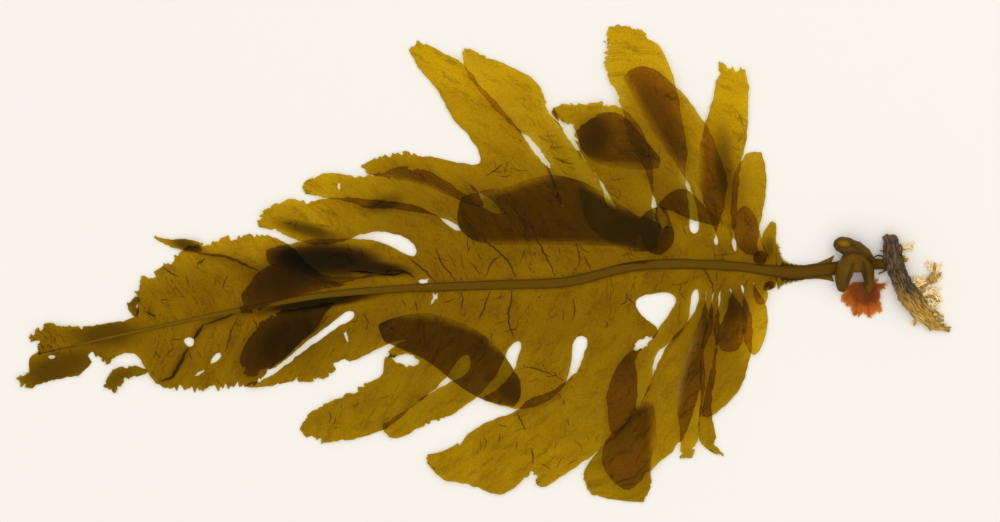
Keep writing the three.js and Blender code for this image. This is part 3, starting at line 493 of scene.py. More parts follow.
def layered_noise(points, cell, seed, layers=3):
    """Several octaves of smooth noise, from 0 to 1."""
    total = np.zeros(len(points))
    weight = 0.0
    for k in range(layers):
        total += lattice_noise(points, cell / 2**k, seed + k) / 2**k
        weight += 1 / 2**k
    return total / weight


def midrib_line():
    """The midrib's middle in plan, from the holdfast to the tip, from the flat underside of its solid."""
    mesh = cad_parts["stipe_and_midrib"].data
    flat = {(round(v.co.x, 6), round(v.co.y, 6)) for v in mesh.vertices if v.co.z < 1e-5}
    points = sorted(flat, reverse=True)
    pairs = [(points[k], points[k + 1]) for k in range(0, len(points) - 1, 2)]
    line = np.array([((a[0] + b[0]) / 2, (a[1] + b[1]) / 2) for a, b in pairs])
    onward = line[-1] - line[-4]
    return np.vstack([line, line[-1] + onward / np.linalg.norm(onward) * TIP_REACH])


def lengths_along(line):
    """How far along a line each of its points is."""
    return np.concatenate([[0], np.cumsum(np.linalg.norm(np.diff(line, axis=0), axis=1))])


def along_line(points, line):
    """Each point's place along a line and its signed distance from it, in plan."""
    start, step = line[:-1], line[1:] - line[:-1]
    length = np.linalg.norm(step, axis=1)
    before = np.concatenate([[0], np.cumsum(length)[:-1]])
    along = np.zeros(len(points))
    side = np.zeros(len(points))
    best = np.full(len(points), np.inf)
    for k in range(len(start)):
        t = np.clip(((points - start[k]) @ step[k]) / length[k] ** 2, 0, 1)
        away = points - (start[k] + t[:, None] * step[k])
        distance = np.linalg.norm(away, axis=1)
        turn = step[k][0] * away[:, 1] - step[k][1] * away[:, 0]
        nearer = distance < best
        best = np.where(nearer, distance, best)
        along = np.where(nearer, before[k] + t * length[k], along)
        side = np.where(nearer, -np.sign(turn) * distance, side)
    return along, side


def distance_to_path(points, path):
    """Each point's distance from a path, in plan."""
    _, side = along_line(points, np.array(path))
    return np.abs(side)


def inside_ellipse(points, px, py, wide, high, turn):
    """How far each point is from an ellipse's middle: 1 on its rim."""
    x, y = photo_place(px, py)
    angle = math.radians(turn)
    dx, dy = points[:, 0] - x, points[:, 1] - y
    u = (dx * math.cos(angle) + dy * math.sin(angle)) / (wide * PIXEL)
    v = (dy * math.cos(angle) - dx * math.sin(angle)) / (high * PIXEL)
    return np.hypot(u, v)


def patch_share(points, *ellipse):
    """How strong a patch is at each point: full in its middle, fading to nothing past its rim."""
    return np.clip(1.6 - 1.2 * inside_ellipse(points, *ellipse), 0, 1)


def nearness(points, px, py, reach):
    """How near each point is to a pixel of the photograph: 1 up to half the reach, 0 past it."""
    away = np.linalg.norm(points - photo_place(px, py), axis=1) / (reach * PIXEL)
    return np.clip(2 - 2 * away, 0, 1)


def sheet_tops(names):
    """The upper faces of several sheets' solids in one mesh, each face marked with its sheet's number."""
    bm = bmesh.new()
    sheet = bm.faces.layers.int.new("sheet")
    for number, name in enumerate(names):
        known = len(bm.faces)
        bm.from_mesh(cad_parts[name].data)
        bm.faces.ensure_lookup_table()
        for face in bm.faces[known:]:
            face[sheet] = number
    bmesh.ops.remove_doubles(bm, verts=bm.verts, dist=MERGE)
    bm.normal_update()
    steepest = 0.2
    under = [f for f in bm.faces if f.normal.z < steepest]
    bmesh.ops.delete(bm, geom=under, context="FACES")
    return bm, sheet


def weld_roots(bm, sheet, names):
    """Joins each lobe's root to the margin it grows from."""
    seam = 0.45 * MM
    rims = [v for v in bm.verts if v.is_boundary]
    tree = kdtree.KDTree(len(rims))
    for k, v in enumerate(rims):
        tree.insert((v.co.x, v.co.y, 0), k)
    tree.balance()
    owner = {v: names[v.link_faces[0][sheet]] for v in rims}
    targets = {}
    for v in rims:
        name = owner[v]
        if name.startswith("blade_") or name.startswith(PLEAT_PREFIXES):
            continue
        parent = FINGER_PARENTS.get(name, "blade_" + name.split("_")[0])
        near = tree.find_range((v.co.x, v.co.y, 0), seam)
        near = [rims[k] for _, k, _ in near if owner[rims[k]] == parent]
        if near:
            targets[v] = near[0]
    bmesh.ops.weld_verts(bm, targetmap=targets)


def close_under_midrib(bm, sheet, side_name):
    """Draws the inner edge of a blade half just past the middle line, so that the halves meet there."""
    reach = 4.5 * MM
    line = midrib_line()
    rim = [v for v in bm.verts if v.is_boundary and all(f[sheet] == 0 for f in v.link_faces)]
    plan = np.array([v.co[:2] for v in rim])
    along, side = along_line(plan, line)
    lengths = lengths_along(line)
    lap = OVERLAP if side_name == "upper" else -OVERLAP
    for v, a, d in zip(rim, along, side):
        if abs(d) < reach:
            k = min(np.searchsorted(lengths, a, side="right"), len(line) - 1)
            ahead = (line[k] - line[k - 1]) / (lengths[k] - lengths[k - 1])
            v.co.x = np.interp(a, lengths, line[:, 0]) - lap * ahead[1]
            v.co.y = np.interp(a, lengths, line[:, 1]) + lap * ahead[0]


def new_holder(mesh):
    """A helper object that carries a mesh while modifiers work on it."""
    holder = bpy.data.objects.new("holder", mesh)
    bpy.context.scene.collection.objects.link(holder)
    return holder


def applied(holder):
    """A new mesh: the holder's with its modifiers applied. The holder is removed."""
    depsgraph = bpy.context.evaluated_depsgraph_get()
    result = bpy.data.meshes.new_from_object(holder.evaluated_get(depsgraph), depsgraph=depsgraph)
    bpy.data.objects.remove(holder)
    return result


def evaluated(mesh, *modifiers):
    """A new mesh: the given one with modifiers applied, each a type and its settings."""
    holder = new_holder(mesh)
    for kind, settings in modifiers:
        modifier = holder.modifiers.new(kind.lower(), kind)
        for key, value in settings.items():
            setattr(modifier, key, value)
    return applied(holder)


def thickened(mesh, thickness, offset):
    """A sheet with its thickness, on one side of it or on both."""
    return evaluated(mesh, ("SOLIDIFY", {"thickness": thickness, "offset": offset, "use_rim": True}))


def places(mesh):
    """The mesh's vertex places as an array."""
    co = np.empty(len(mesh.vertices) * 3)
    mesh.vertices.foreach_get("co", co)
    return co.reshape(-1, 3)


def set_places(mesh, co):
    """Moves the mesh's vertices."""
    mesh.vertices.foreach_set("co", co.ravel())
    mesh.update()


def set_attribute(mesh, name, values, kind="FLOAT"):
    """Stores a value for each vertex."""
    layer = mesh.attributes.new(name, kind, "POINT")
    key = "vector" if kind == "FLOAT_VECTOR" else "value"
    layer.data.foreach_set(key, np.ascontiguousarray(values, dtype=np.float32).ravel())


def set_vein(mesh, along, side, high):
    """Stores the piece's own coordinates in millimetres: along its middle line, across it, and upwards."""
    set_attribute(mesh, "vein", np.column_stack([along, side, high]) / MM, "FLOAT_VECTOR")


def drop_attributes(mesh, *names):
    """Removes values that only served to make the mesh."""
    for name in [a.name for a in mesh.attributes if a.name in names]:
        mesh.attributes.remove(mesh.attributes[name])


def surface_of(mesh):
    """The mesh's faces, ready to be searched."""
    bm = bmesh.new()
    bm.from_mesh(mesh)
    surface = BVHTree.FromBMesh(bm)
    bm.free()
    return surface


def top_of(surface, x, y):
    """The highest place of a surface at a place in plan, or None."""
    return surface.ray_cast(Vector((x, y, ABOVE_ALL)), Vector((0, 0, -1)))[0]


def rim_of(mesh):
    """The mesh's open rim: its vertices, the way into the sheet at each, in plan, and its sharp corners."""
    sharp = -0.5
    bm = bmesh.new()
    bm.from_mesh(mesh)
    rim, inwards, corners = [], [], []
    for v in bm.verts:
        if not v.is_boundary:
            continue
        away = Vector((0, 0, 0))
        for face in v.link_faces:
            away += face.calc_center_median() - v.co
        away.z = 0
        rim.append(v.index)
        inwards.append(away.normalized()[:2] if away.length > 0 else (0, 0))
        ends = [(e.other_vert(v).co - v.co).normalized() for e in v.link_edges if e.is_boundary]
        if len(ends) != 2 or ends[0].dot(ends[1]) > sharp:
            corners.append(v.co[:2])
    bm.free()
    return np.array(rim), np.array(inwards), corners


def raggedness(plan):
    """How torn the margin is at each place, from 0 to 1."""
    ragged = np.zeros(len(plan))
    for tip in RAGGED_TIPS:
        ragged = np.maximum(ragged, nearness(plan, *tip))
    return ragged


def refine_margin(mesh):
    """Gives the facets along the margin a finer grain, and those of a torn tip the finest."""
    everywhere, torn = -1.0, 0.1
    bm = bmesh.new()
    bm.from_mesh(mesh)
    for cuts, least in ((1, everywhere), (2, torn)):
        rim = [v for v in bm.verts if v.is_boundary]
        ragged = raggedness(np.array([v.co[:2] for v in rim]))
        faces = {f for v, amount in zip(rim, ragged) if amount > least for f in v.link_faces}
        edges = list({e for f in faces for e in f.edges})
        bmesh.ops.subdivide_edges(bm, edges=edges, cuts=cuts, use_grid_fill=True)
    bm.to_mesh(mesh)
    bm.free()


def nearest_rim(mesh, rim, reach):
    """For each point the nearest of the rim's points along its own sheet, and how far away that is."""
    co = places(mesh)
    edges = np.empty(2 * len(mesh.edges), dtype=np.int64)
    mesh.edges.foreach_get("vertices", edges)
    edges = edges.reshape(-1, 2)
    edges = np.vstack([edges, edges[:, ::-1]])
    lengths = np.linalg.norm(co[edges[:, 0]] - co[edges[:, 1]], axis=1)
    distance = np.full(len(co), reach)
    nearest = np.zeros(len(co), dtype=np.int64)
    distance[rim] = 0
    nearest[rim] = np.arange(len(rim))
    most_steps = 60
    for _ in range(most_steps):
        through = distance[edges[:, 0]] + lengths
        shorter = np.flatnonzero(through < distance[edges[:, 1]] - 1e-9)
        if len(shorter) == 0:
            break
        shorter = shorter[np.argsort(-through[shorter], kind="stable")]
        distance[edges[shorter, 1]] = through[shorter]
        nearest[edges[shorter, 1]] = nearest[edges[shorter, 0]]
    straight = np.linalg.norm(co - co[rim[nearest]], axis=1)
    return nearest, np.where(distance < reach, straight, reach)


def wear_depths(plan, corners, settings, wear):
    """How far the margin is worn back at each of its places: in broad bays, and by small teeth."""
    _, side = along_line(plan, midrib_line())
    ragged = raggedness(plan)
    wear = np.where(plan[:, 0] < photo_place(TORN_END, 0)[0], 1.0, wear)
    coarse = layered_noise(plan, cell=9 * MM, seed=11)
    fine = layered_noise(plan, cell=2.6 * MM, seed=17, layers=2)
    worn = np.clip((0.5 * coarse + 0.5 * fine) * 2.4 - 0.7, 0, 1)
    free = np.clip((np.abs(side) - 1.0 * MM) / (2.5 * MM), 0, 1)
    torn = 0.6 * layered_noise(plan, cell=4.5 * MM, seed=31, layers=2)
    torn = torn + 0.4 * lattice_noise(plan, cell=1.5 * MM, seed=37)
    torn = np.clip(torn * 2.6 - 0.8, 0, 1)
    depth = wear * (worn * settings.fray * (1 - ragged) + torn * settings.tip_fray * ragged)
    jagged = np.clip(lattice_noise(plan, cell=1.3 * MM, seed=23) * 1.8 - 0.5, 0, 1)
    teeth = wear * free * ragged * settings.teeth * jagged
    spread = np.full(len(plan), settings.spread)
    for corner in corners:
        away = np.linalg.norm(plan - corner, axis=1)
        depth = np.minimum(depth, 0.4 * away)
        teeth = np.minimum(teeth, 0.4 * away)
        spread = np.minimum(spread, away)
    for px, py, far, drawn in CLOSED_GAPS:
        spread += drawn * MM * nearness(plan, px, py, far)
    return free * (depth - spread), teeth


def fray_margin(mesh, settings, wear):
    """Wears the sheet's margin unevenly, most at torn tips, and returns each point's distance from it."""
    reach, tooth_reach, rim_reach = 8 * MM, 4.5 * MM, 14 * MM
    co = places(mesh)
    rim, inwards, corners = rim_of(mesh)
    nearest, distance = nearest_rim(mesh, rim, rim_reach)
    depth, teeth = wear_depths(co[rim, :2], corners, settings, wear)
    ease = np.clip(1 - distance / reach, 0, 1)
    tooth_ease = np.clip(1 - distance / tooth_reach, 0, 1)
    moves = inwards[nearest] * (depth[nearest] * ease + teeth[nearest] * tooth_ease)[:, None]
    co[:, :2] += unfolded(mesh, co[:, :2], moves)
    set_places(mesh, co)
    return distance


def unfolded(mesh, plan, moves):
    """The moves of a sheet's points in plan, held back where a facet would fold over."""
    loops = np.empty(len(mesh.loops), dtype=np.int64)
    mesh.loops.foreach_get("vertex_index", loops)
    first = np.empty(len(mesh.polygons), dtype=np.int64)
    mesh.polygons.foreach_get("loop_start", first)
    number = np.diff(np.append(first, len(loops)))
    owner = np.repeat(np.arange(len(first)), number)
    after = np.arange(len(loops)) + 1
    after[first + number - 1] = first

    def areas(places_now):
        a, b = places_now[loops], places_now[loops[after]]
        return np.add.reduceat(a[:, 0] * b[:, 1] - b[:, 0] * a[:, 1], first)

    rounds, least = 12, 0.25
    before = areas(plan)
    for _ in range(rounds):
        folded = areas(plan + moves) < least * before
        if not folded.any():
            break
        moves[loops[folded[owner]]] *= 0.6
    return moves


def relief(co, settings, line):
    """How far the sheet stands up at each place, its own coordinates there, and how folded it is.

    All layers share it, so they stay clear of each other.
    """
    plan = co[:, :2]
    along, side = along_line(plan, line)
    lean = LEAN * np.abs(side) + BEND * side * side / MM
    vein = np.column_stack([along - lean, side * 0.22])
    ridge = 1 - np.abs(2 * layered_noise(vein, cell=7 * MM, seed=3) - 1)
    ridge = np.clip(ridge * 1.6 - 0.75, 0, 1)
    near = np.exp(-((np.abs(side) - 14 * MM) / (26 * MM)) ** 2)
    ripple = settings.ripple * ridge * (0.25 + 0.75 * near)
    swell = np.clip(layered_noise(plan, cell=26 * MM, seed=29, layers=2) * 1.7 - 0.5, 0, 1)
    beside_rib = np.clip((np.abs(side) - 3 * MM) / (5 * MM), 0, 1)
    # How folded the sheet is; the blade's material paints shade along these ripples from it
    fold = ridge * (0.35 + 0.65 * near)
    return (ripple + settings.swell * swell) * beside_rib, along, side, fold


def cut_hole(bm, hole):
    """Opens one hole or tear with an uneven rim."""
    px, py, wide, high, turn = hole
    x, y = photo_place(px, py)
    reach = 2.2 * max(wide, high) * PIXEL
    border, narrow = 5, 2.5

    def rim_share(verts):
        plan = np.array([v[:2] for v in verts])
        uneven = 1 + 0.5 * (lattice_noise(plan, cell=1.6 * MM, seed=53) - 0.5)
        return inside_ellipse(plan, *hole) / uneven

    def faces_near():
        middles = np.array([f.calc_center_median()[:2] for f in bm.faces])
        inside = inside_ellipse(middles, px, py, wide + border, high + border, turn) < 1
        return [f for f, chosen in zip(bm.faces, inside) if chosen]

    near = faces_near()
    if not near:
        return
    edges = list({e for f in near for e in f.edges})
    cuts = 4 if min(wide, high) < narrow else 3
    bmesh.ops.subdivide_edges(bm, edges=edges, cuts=cuts, use_grid_fill=True)
    around = faces_near()
    share = rim_share([f.calc_center_median() for f in around])
    bmesh.ops.delete(bm, geom=[f for f, e in zip(around, share) if e < 1], context="FACES")
    rim = [v for v in bm.verts if v.is_boundary and abs(v.co.x - x) < reach and abs(v.co.y - y) < reach]
    if not rim:
        return
    for v, e in zip(rim, rim_share([v.co for v in rim])):
        if 0.5 < e < 1.5:
            v.co.x = x + (v.co.x - x) / e
            v.co.y = y + (v.co.y - y) / e


def cut_holes(mesh, holes):
    """Opens the sheets' holes and tears."""
    bm = bmesh.new()
    bm.from_mesh(mesh)
    for hole in holes:
        cut_hole(bm, hole)
    bm.to_mesh(mesh)
    bm.free()


def wandering_path(start, heading, length, chance):
    """A wrinkle's path in plan, which bends by small uneven turns."""
    step, bend = 1.0 * MM, 0.36
    path = [np.array(start)]
    for _ in range(max(3, int(length / step))):
        heading += chance.gauss(0, bend)
        path.append(path[-1] + step * np.array((math.cos(heading), math.sin(heading))))
    return path


def crease_paths(chance):
    """The creases that stand out in the photograph: each a half width and a path in plan."""
    paths = []
    for width, pixels in CREASES.values():
        path = refined_path(photo_line(pixels), 1.0 * MM)
        path += [[chance.gauss(0, 0.18) * MM for _ in range(2)] for _ in path]
        paths.append((0.75 * width * MM, path))
    return paths


def midrib_wrinkles(side, chance):
    """Wrinkles that lean outwards from the midrib on one half of the blade."""
    paths = []
    line = midrib_line()
    count, lean = ALONG_MIDRIB[side]
    sign = 1 if side == "upper" else -1
    for _ in range(count):
        k = chance.randrange(8, len(line) - 2)
        ahead = line[k + 1] - line[k]
        place = line[k] + ahead * chance.random()
        outwards = math.atan2(ahead[1], ahead[0]) - sign * math.pi / 2
        start = place + chance.uniform(2.5, 24) * MM * np.array((math.cos(outwards), math.sin(outwards)))
        heading = outwards + sign * math.radians(chance.gauss(lean, 14))
        path = wandering_path(start, heading, chance.uniform(2.5, 12) * MM, chance)
        paths.append((chance.uniform(0.1, 0.24) * MM, path))
    return paths


def zone_wrinkles(chance):
    """Wrinkles spread over the zones of fine wrinkles."""
    paths = []
    for px, py, wide, high, turn, slope, number in WRINKLES.values():
        angle = math.radians(turn)
        for _ in range(number):
            far, way = math.sqrt(chance.random()), chance.uniform(0, 2 * math.pi)
            u, v = far * wide * math.cos(way), far * high * math.sin(way)
            across = px + u * math.cos(angle) + v * math.sin(angle)
            down = py - u * math.sin(angle) + v * math.cos(angle)
            heading = math.radians(slope + chance.gauss(0, 12))
            start = photo_place(across, down)
            path = wandering_path(start, heading, chance.uniform(3, 9) * MM, chance)
            paths.append((chance.uniform(0.09, 0.22) * MM, path))
    return paths


def wrinkle_runs(sheet, side):
    """The wrinkles laid on top of a sheet: each a half width and a path, broken where the sheet steps."""
    chance = random.Random(len(side) + ord(side[0]))
    surface = surface_of(sheet)
    step_up, shortest = 0.5 * MM, 4
    runs = []
    for width, path in crease_paths(chance) + midrib_wrinkles(side, chance) + zone_wrinkles(chance):
        run = []
        for x, y in path:
            top = top_of(surface, x, y)
            if top is None or (run and abs(top.z - run[-1][2]) > step_up):
                runs.append((width, run))
                run = []
            if top is not None:
                run.append((x, y, top.z))
        runs.append((width, run))
    return [(width, np.array(run)) for width, run in runs if len(run) >= shortest]


def wrinkle_mesh(sheet, side, material):
    """Pinched ridges that lie along the wrinkles' paths on top of a sheet."""
    sunk, highest = 0.05 * MM, 0.3 * MM
    runs = wrinkle_runs(sheet, side)
    swells = [0.3 + 0.7 * np.sin(np.linspace(0, math.pi, len(run))) for _, run in runs]
    half = np.concatenate([width * swell for (width, _), swell in zip(runs, swells)])
    paths = [run - (0, 0, sunk) for _, run in runs]
    axis = np.concatenate([path[:, 2] for path in paths])
    mesh = path_mesh(paths, half_width=half, half_height=np.minimum(half, highest), axis=axis)
    return grow(mesh, strap_tree(), Sides=6, Material=material)


def values_of(mesh, name):
    """The values that a mesh carries under a name, one for each vertex."""
    values = np.empty(len(mesh.vertices), dtype=np.float32)
    mesh.attributes[name].data.foreach_get("value", values)
    return values


def sharpen_rim(bm):
    """Pushes the rim's bends outwards by what the smoothing takes off them."""
    share = 0.4
    moves = {}
    for v in bm.verts:
        ends = [e.other_vert(v).co for e in v.link_edges if e.is_boundary]
        if len(ends) == 2 and len(v.link_faces) > 1:
            moves[v] = share * (v.co - (ends[0] + ends[1]) / 2)
    for v, move in moves.items():
        v.co.x += move.x
        v.co.y += move.y


def smooth_sheet(names, settings, side):
    """The sheets' upper faces, welded, drawn to the midrib and smoothed."""
    flattest = math.radians(70)
    bm, sheet = sheet_tops(names)
    weld_roots(bm, sheet, names)
    if side:
        close_under_midrib(bm, sheet, side)
    bmesh.ops.join_triangles(
        bm, faces=bm.faces, angle_face_threshold=flattest, angle_shape_threshold=flattest
    )
    sharpen_rim(bm)
    coarse = bpy.data.meshes.new("coarse")
    bm.to_mesh(coarse)
    bm.free()
    smooth = {"levels": settings.levels, "render_levels": settings.levels}
    return evaluated(coarse, ("SUBSURF", {**smooth, "boundary_smooth": "PRESERVE_CORNERS"}))


def mark_sheet(mesh, settings, soft_shadow_patches, margin, crease):
    """Stores what the material reads at each point of a finished sheet."""
    co = places(mesh)
    plan = co[:, :2]
    _, along, across, fold = relief(co, settings, midrib_line())
    stain = np.zeros(len(co))
    for *ellipse, strength in STAINS.values():
        stain = np.maximum(stain, strength * patch_share(plan, *ellipse))
    # Where a margin is painted clear, so that the shade of an overlap fades out softly
    soft = np.max([patch_share(plan, *ellipse) for ellipse in soft_shadow_patches], axis=0)
    set_vein(mesh, along, across, np.zeros(len(co)))
    values = {"margin": margin, "crease": crease, "stain": stain, "fold": fold, "soft": soft}
    for name, value in values.items():
        set_attribute(mesh, name, value)


def sheet_mesh(names, settings, holes, side=None, material=None):
    """One mesh of the blade: smoothed, frayed, holed, rippled, thickened, then wrinkled."""
    whole_wear, tucked_wear = 1.0, 0.25
    inside = 9.0  # millimetres from the margin that the wrinkles are given
    mesh = smooth_sheet(names, settings, side)
    refine_margin(mesh)
    margin = fray_margin(mesh, settings, whole_wear if side else tucked_wear)
    set_attribute(mesh, "margin", margin / MM)
    cut_holes(mesh, holes)
    co = places(mesh)
    co[:, 2] += relief(co, settings, midrib_line())[0] - settings.settle
    set_places(mesh, co)
    thick = thickened(mesh, settings.thickness, offset=-1.0)
    margin = values_of(thick, "margin")
    crease = np.zeros(len(margin))
    if side:
        wrinkles = wrinkle_mesh(thick, side, material)
        thick = joined([thick, wrinkles])
        margin = np.concatenate([margin, np.full(len(wrinkles.vertices), inside)])
        crease = np.concatenate([crease, np.ones(len(wrinkles.vertices))])
    drop_attributes(thick, "margin", "half_width", "half_height", "axis")
    mark_sheet(thick, settings, SOFT_SHADOW_MARGINS[side or "pleats"], margin, crease)
    thick.shade_smooth()
    return thick


def add_piece(name, mesh, material, nodes=()):
    """Puts a finished mesh in the scene, on the frond's one body and on the floor."""
    co = places(mesh)
    co[:, 2] = np.maximum(co[:, 2], 0)
    set_places(mesh, co)
    mesh.materials.clear()
    mesh.materials.append(material)
    piece = bpy.data.objects.new(name, mesh)
    bpy.context.scene.collection.objects.link(piece)
    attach(piece, BODY)
    if nodes:
        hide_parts(*nodes)
    return piece


class Nodes:
    """Adds nodes to a tree and links them in one line."""

    def __init__(self, tree):
        self.tree = tree

    def add(self, kind, inputs=None, **settings):
        node = self.tree.nodes.new(kind)
        for key, value in settings.items():
            setattr(node, key, value)
        return self.fill(node, inputs or {})

    def fill(self, node, inputs):
        """Links each input to a socket, or sets it to a plain value."""
        for key, value in inputs.items():
            socket = node.inputs[key]
            if isinstance(value, bpy.types.NodeSocket):
                self.tree.links.new(value, socket)
            else:
                socket.default_value = value
        return node

    def math(self, operation, a, b=0.0, clamp=False):
        return self.add("ShaderNodeMath", {0: a, 1: b}, operation=operation, use_clamp=clamp).outputs[0]

    def plus(self, a, b, clamp=False):
        return self.math("ADD", a, b, clamp)

    def minus(self, a, b):
        return self.math("SUBTRACT", a, b)

    def times(self, a, b):
        return self.math("MULTIPLY", a, b)

    def most(self, a, b, clamp=False):
        return self.math("MAXIMUM", a, b, clamp)

    def named(self, name):
        """A value that the geometry carries under a name, in a geometry tree."""
        return self.add("GeometryNodeInputNamedAttribute", {"Name": name}).outputs[0]

    def value(self, name):
        """A value that the mesh carries under a name, in a material."""
        return self.add("ShaderNodeAttribute", attribute_name=name).outputs["Fac"]

    def vein(self):
        """The sheet's own coordinates in millimetres, in a material."""
        return self.add("ShaderNodeAttribute", attribute_name="vein").outputs["Vector"]

    def split(self, vector):
        return self.add("ShaderNodeSeparateXYZ", {"Vector": vector}).outputs

    def combine(self, x, y, z=0.0):
        return self.add("ShaderNodeCombineXYZ", {"X": x, "Y": y, "Z": z}).outputs[0]

    def noise(self, vector, scale, detail, **more):
        inputs = {"Vector": vector, "Scale": scale, "Detail": detail, **more}
        return self.add("ShaderNodeTexNoise", inputs).outputs["Fac"]

    def ramp(self, value, low, high):
        ranges = {"Value": value, "From Min": low, "From Max": high}
        return self.add("ShaderNodeMapRange", ranges, clamp=True).outputs[0]

    def mix(self, amount, a, b, blend="MIX"):
        node = self.add("ShaderNodeMix", data_type="RGBA", blend_type=blend)
        for key, value in (("Factor_Float", amount), ("A_Color", a), ("B_Color", b)):
            socket = next(s for s in node.inputs if s.identifier == key)
            if isinstance(value, bpy.types.NodeSocket):
                self.tree.links.new(value, socket)
            elif key == "Factor_Float":
                socket.default_value = value
            else:
                socket.default_value = (*value, 1.0)
        return next(s for s in node.outputs if s.identifier == "Result_Color")


def new_group(name, inputs, outputs, kind="ShaderNodeTree"):
    """An empty node group with named sockets, and its two ends."""
    tree = bpy.data.node_groups.new(name, kind)
    for label, socket in inputs:
        tree.interface.new_socket(label, in_out="INPUT", socket_type=socket)
    for label, socket in outputs:
        tree.interface.new_socket(label, in_out="OUTPUT", socket_type=socket)
    nodes = Nodes(tree)
    return tree, nodes, nodes.add("NodeGroupInput").outputs, nodes.add("NodeGroupOutput").inputs


def mottle_group():
    """Clouds, grain and dark specks of algal tissue."""
    name = "Tissue mottle"
    if name in bpy.data.node_groups:
        return bpy.data.node_groups[name]
    sockets = [("Vector", "NodeSocketVector"), ("Speck density", "NodeSocketFloat")]
    results = [(label, "NodeSocketFloat") for label in ("Cloud", "Grain", "Speck")]
    tree, nodes, given, out = new_group(name, sockets, results)
    place = given["Vector"]
    cloud = nodes.noise(place, scale=55.0, detail=4.0)
    grain = nodes.noise(place, scale=900.0, detail=3.0)
    specks = nodes.add("ShaderNodeTexVoronoi", {"Vector": place, "Scale": 640.0, "Randomness": 1.0})
    dots = nodes.ramp(specks.outputs["Distance"], 0.34, 0.12)
    patch = nodes.noise(place, scale=240.0, detail=2.0)
    floor = nodes.minus(1.0, given["Speck density"])
    chosen = nodes.ramp(patch, floor, nodes.plus(floor, 0.12))
    for label, result in (("Cloud", cloud), ("Grain", grain), ("Speck", nodes.times(dots, chosen))):
        tree.links.new(result, out[label])
    return tree


def crease_group():
    """Wavering dark lines that run outwards from the midrib, from the sheet's own coordinates."""
    name = "Crease lines"
    if name in bpy.data.node_groups:
        return bpy.data.node_groups[name]
    numbers = ("Spacing", "Length", "Width", "Share", "Seed")
    sockets = [("Vein", "NodeSocketVector")] + [(label, "NodeSocketFloat") for label in numbers]
    tree, nodes, given, out = new_group(name, sockets, [("Line", "NodeSocketFloat")])
    sheet = nodes.split(given["Vein"])
    away = nodes.math("ABSOLUTE", sheet["Y"])
    slope = nodes.plus(nodes.times(away, BEND), LEAN)
    across = nodes.minus(sheet["X"], nodes.times(away, slope))
    x = nodes.math("DIVIDE", across, given["Spacing"])
    y = nodes.math("DIVIDE", sheet["Y"], given["Length"])
    place = nodes.combine(x, y, given["Seed"])
    field = nodes.noise(place, scale=1.0, detail=2.0, Roughness=0.6)
    from_line = nodes.math("ABSOLUTE", nodes.minus(field, 0.5))
    line = nodes.math("SUBTRACT", 1.0, nodes.math("DIVIDE", from_line, given["Width"]), clamp=True)
    patch = nodes.noise(place, scale=0.37, detail=2.0)
    floor = nodes.minus(1.0, given["Share"])
    shown = nodes.ramp(patch, floor, nodes.plus(floor, 0.14))
    tree.links.new(nodes.times(line, shown), out["Line"])
    return tree


def new_material(name):
    """An empty material, the helper for its nodes, and its shader."""
    material = bpy.data.materials.new(name)
    material.use_nodes = True
    material.node_tree.nodes.clear()
    nodes = Nodes(material.node_tree)
    shader = nodes.add("ShaderNodeBsdfPrincipled")
    nodes.add("ShaderNodeOutputMaterial", {"Surface": shader.outputs[0]})
    return material, nodes, shader


def wet_surface(nodes, shader, tone, rough, height, strength, depth):
    """Links a tone, a roughness and a bump of the given strength and depth to the shader."""
    bump = nodes.add("ShaderNodeBump", {"Height": height, "Strength": strength, "Distance": depth})
    for key, value in (("Base Color", tone), ("Roughness", rough), ("Normal", bump.outputs[0])):
        nodes.tree.links.new(value, shader.inputs[key])


def placed_group(nodes, tree, inputs):
    """Places a node group in a material, with its own values."""
    group = nodes.tree.nodes.new("ShaderNodeGroup")
    group.node_tree = tree
    return nodes.fill(group, inputs).outputs


def crease_lines(nodes, vein, spacing, length, width, share, seed):
    """Crease lines in a material, with their spacing and length in millimetres."""
    inputs = {"Vein": vein, "Spacing": spacing, "Length": length, "Width": width, "Share": share}
    return placed_group(nodes, crease_group(), {**inputs, "Seed": float(seed)})["Line"]


def mottle(nodes, speck_density):
    """The tissue's clouds, grain and specks in a material."""
    place = nodes.add("ShaderNodeTexCoord").outputs["Object"]
    return placed_group(nodes, mottle_group(), {"Vector": place, "Speck density": speck_density})


def pale_and_lit_share(nodes, place):
    """How pale the sheet is made: most at the lobes' ends and in the young parts of the blade, where it is
    thin, and more on the upper half than the lower, which is painted light.
    """
    along, across = place["X"], place["Y"]
    away = nodes.math("ABSOLUTE", across)
    lower_tips = nodes.times(nodes.ramp(across, -25.0, -90.0), 0.42)
    tips = nodes.plus(nodes.ramp(across, 40.0, 106.0), lower_tips)
    upper = nodes.times(nodes.ramp(along, 108.0, 66.0), nodes.ramp(across, 8.0, 18.0))
    lower = nodes.times(nodes.ramp(along, 74.0, 62.0), nodes.ramp(away, 50.0, 36.0))
    lower = nodes.times(lower, nodes.ramp(across, -8.0, -16.0))
    far = nodes.times(nodes.ramp(along, 240.0, 280.0), nodes.ramp(across, 16.0, 34.0))
    young = nodes.times(nodes.plus(upper, far), 0.6)
    young = nodes.most(young, nodes.times(lower, 0.95))
    return nodes.plus(tips, young, clamp=True)


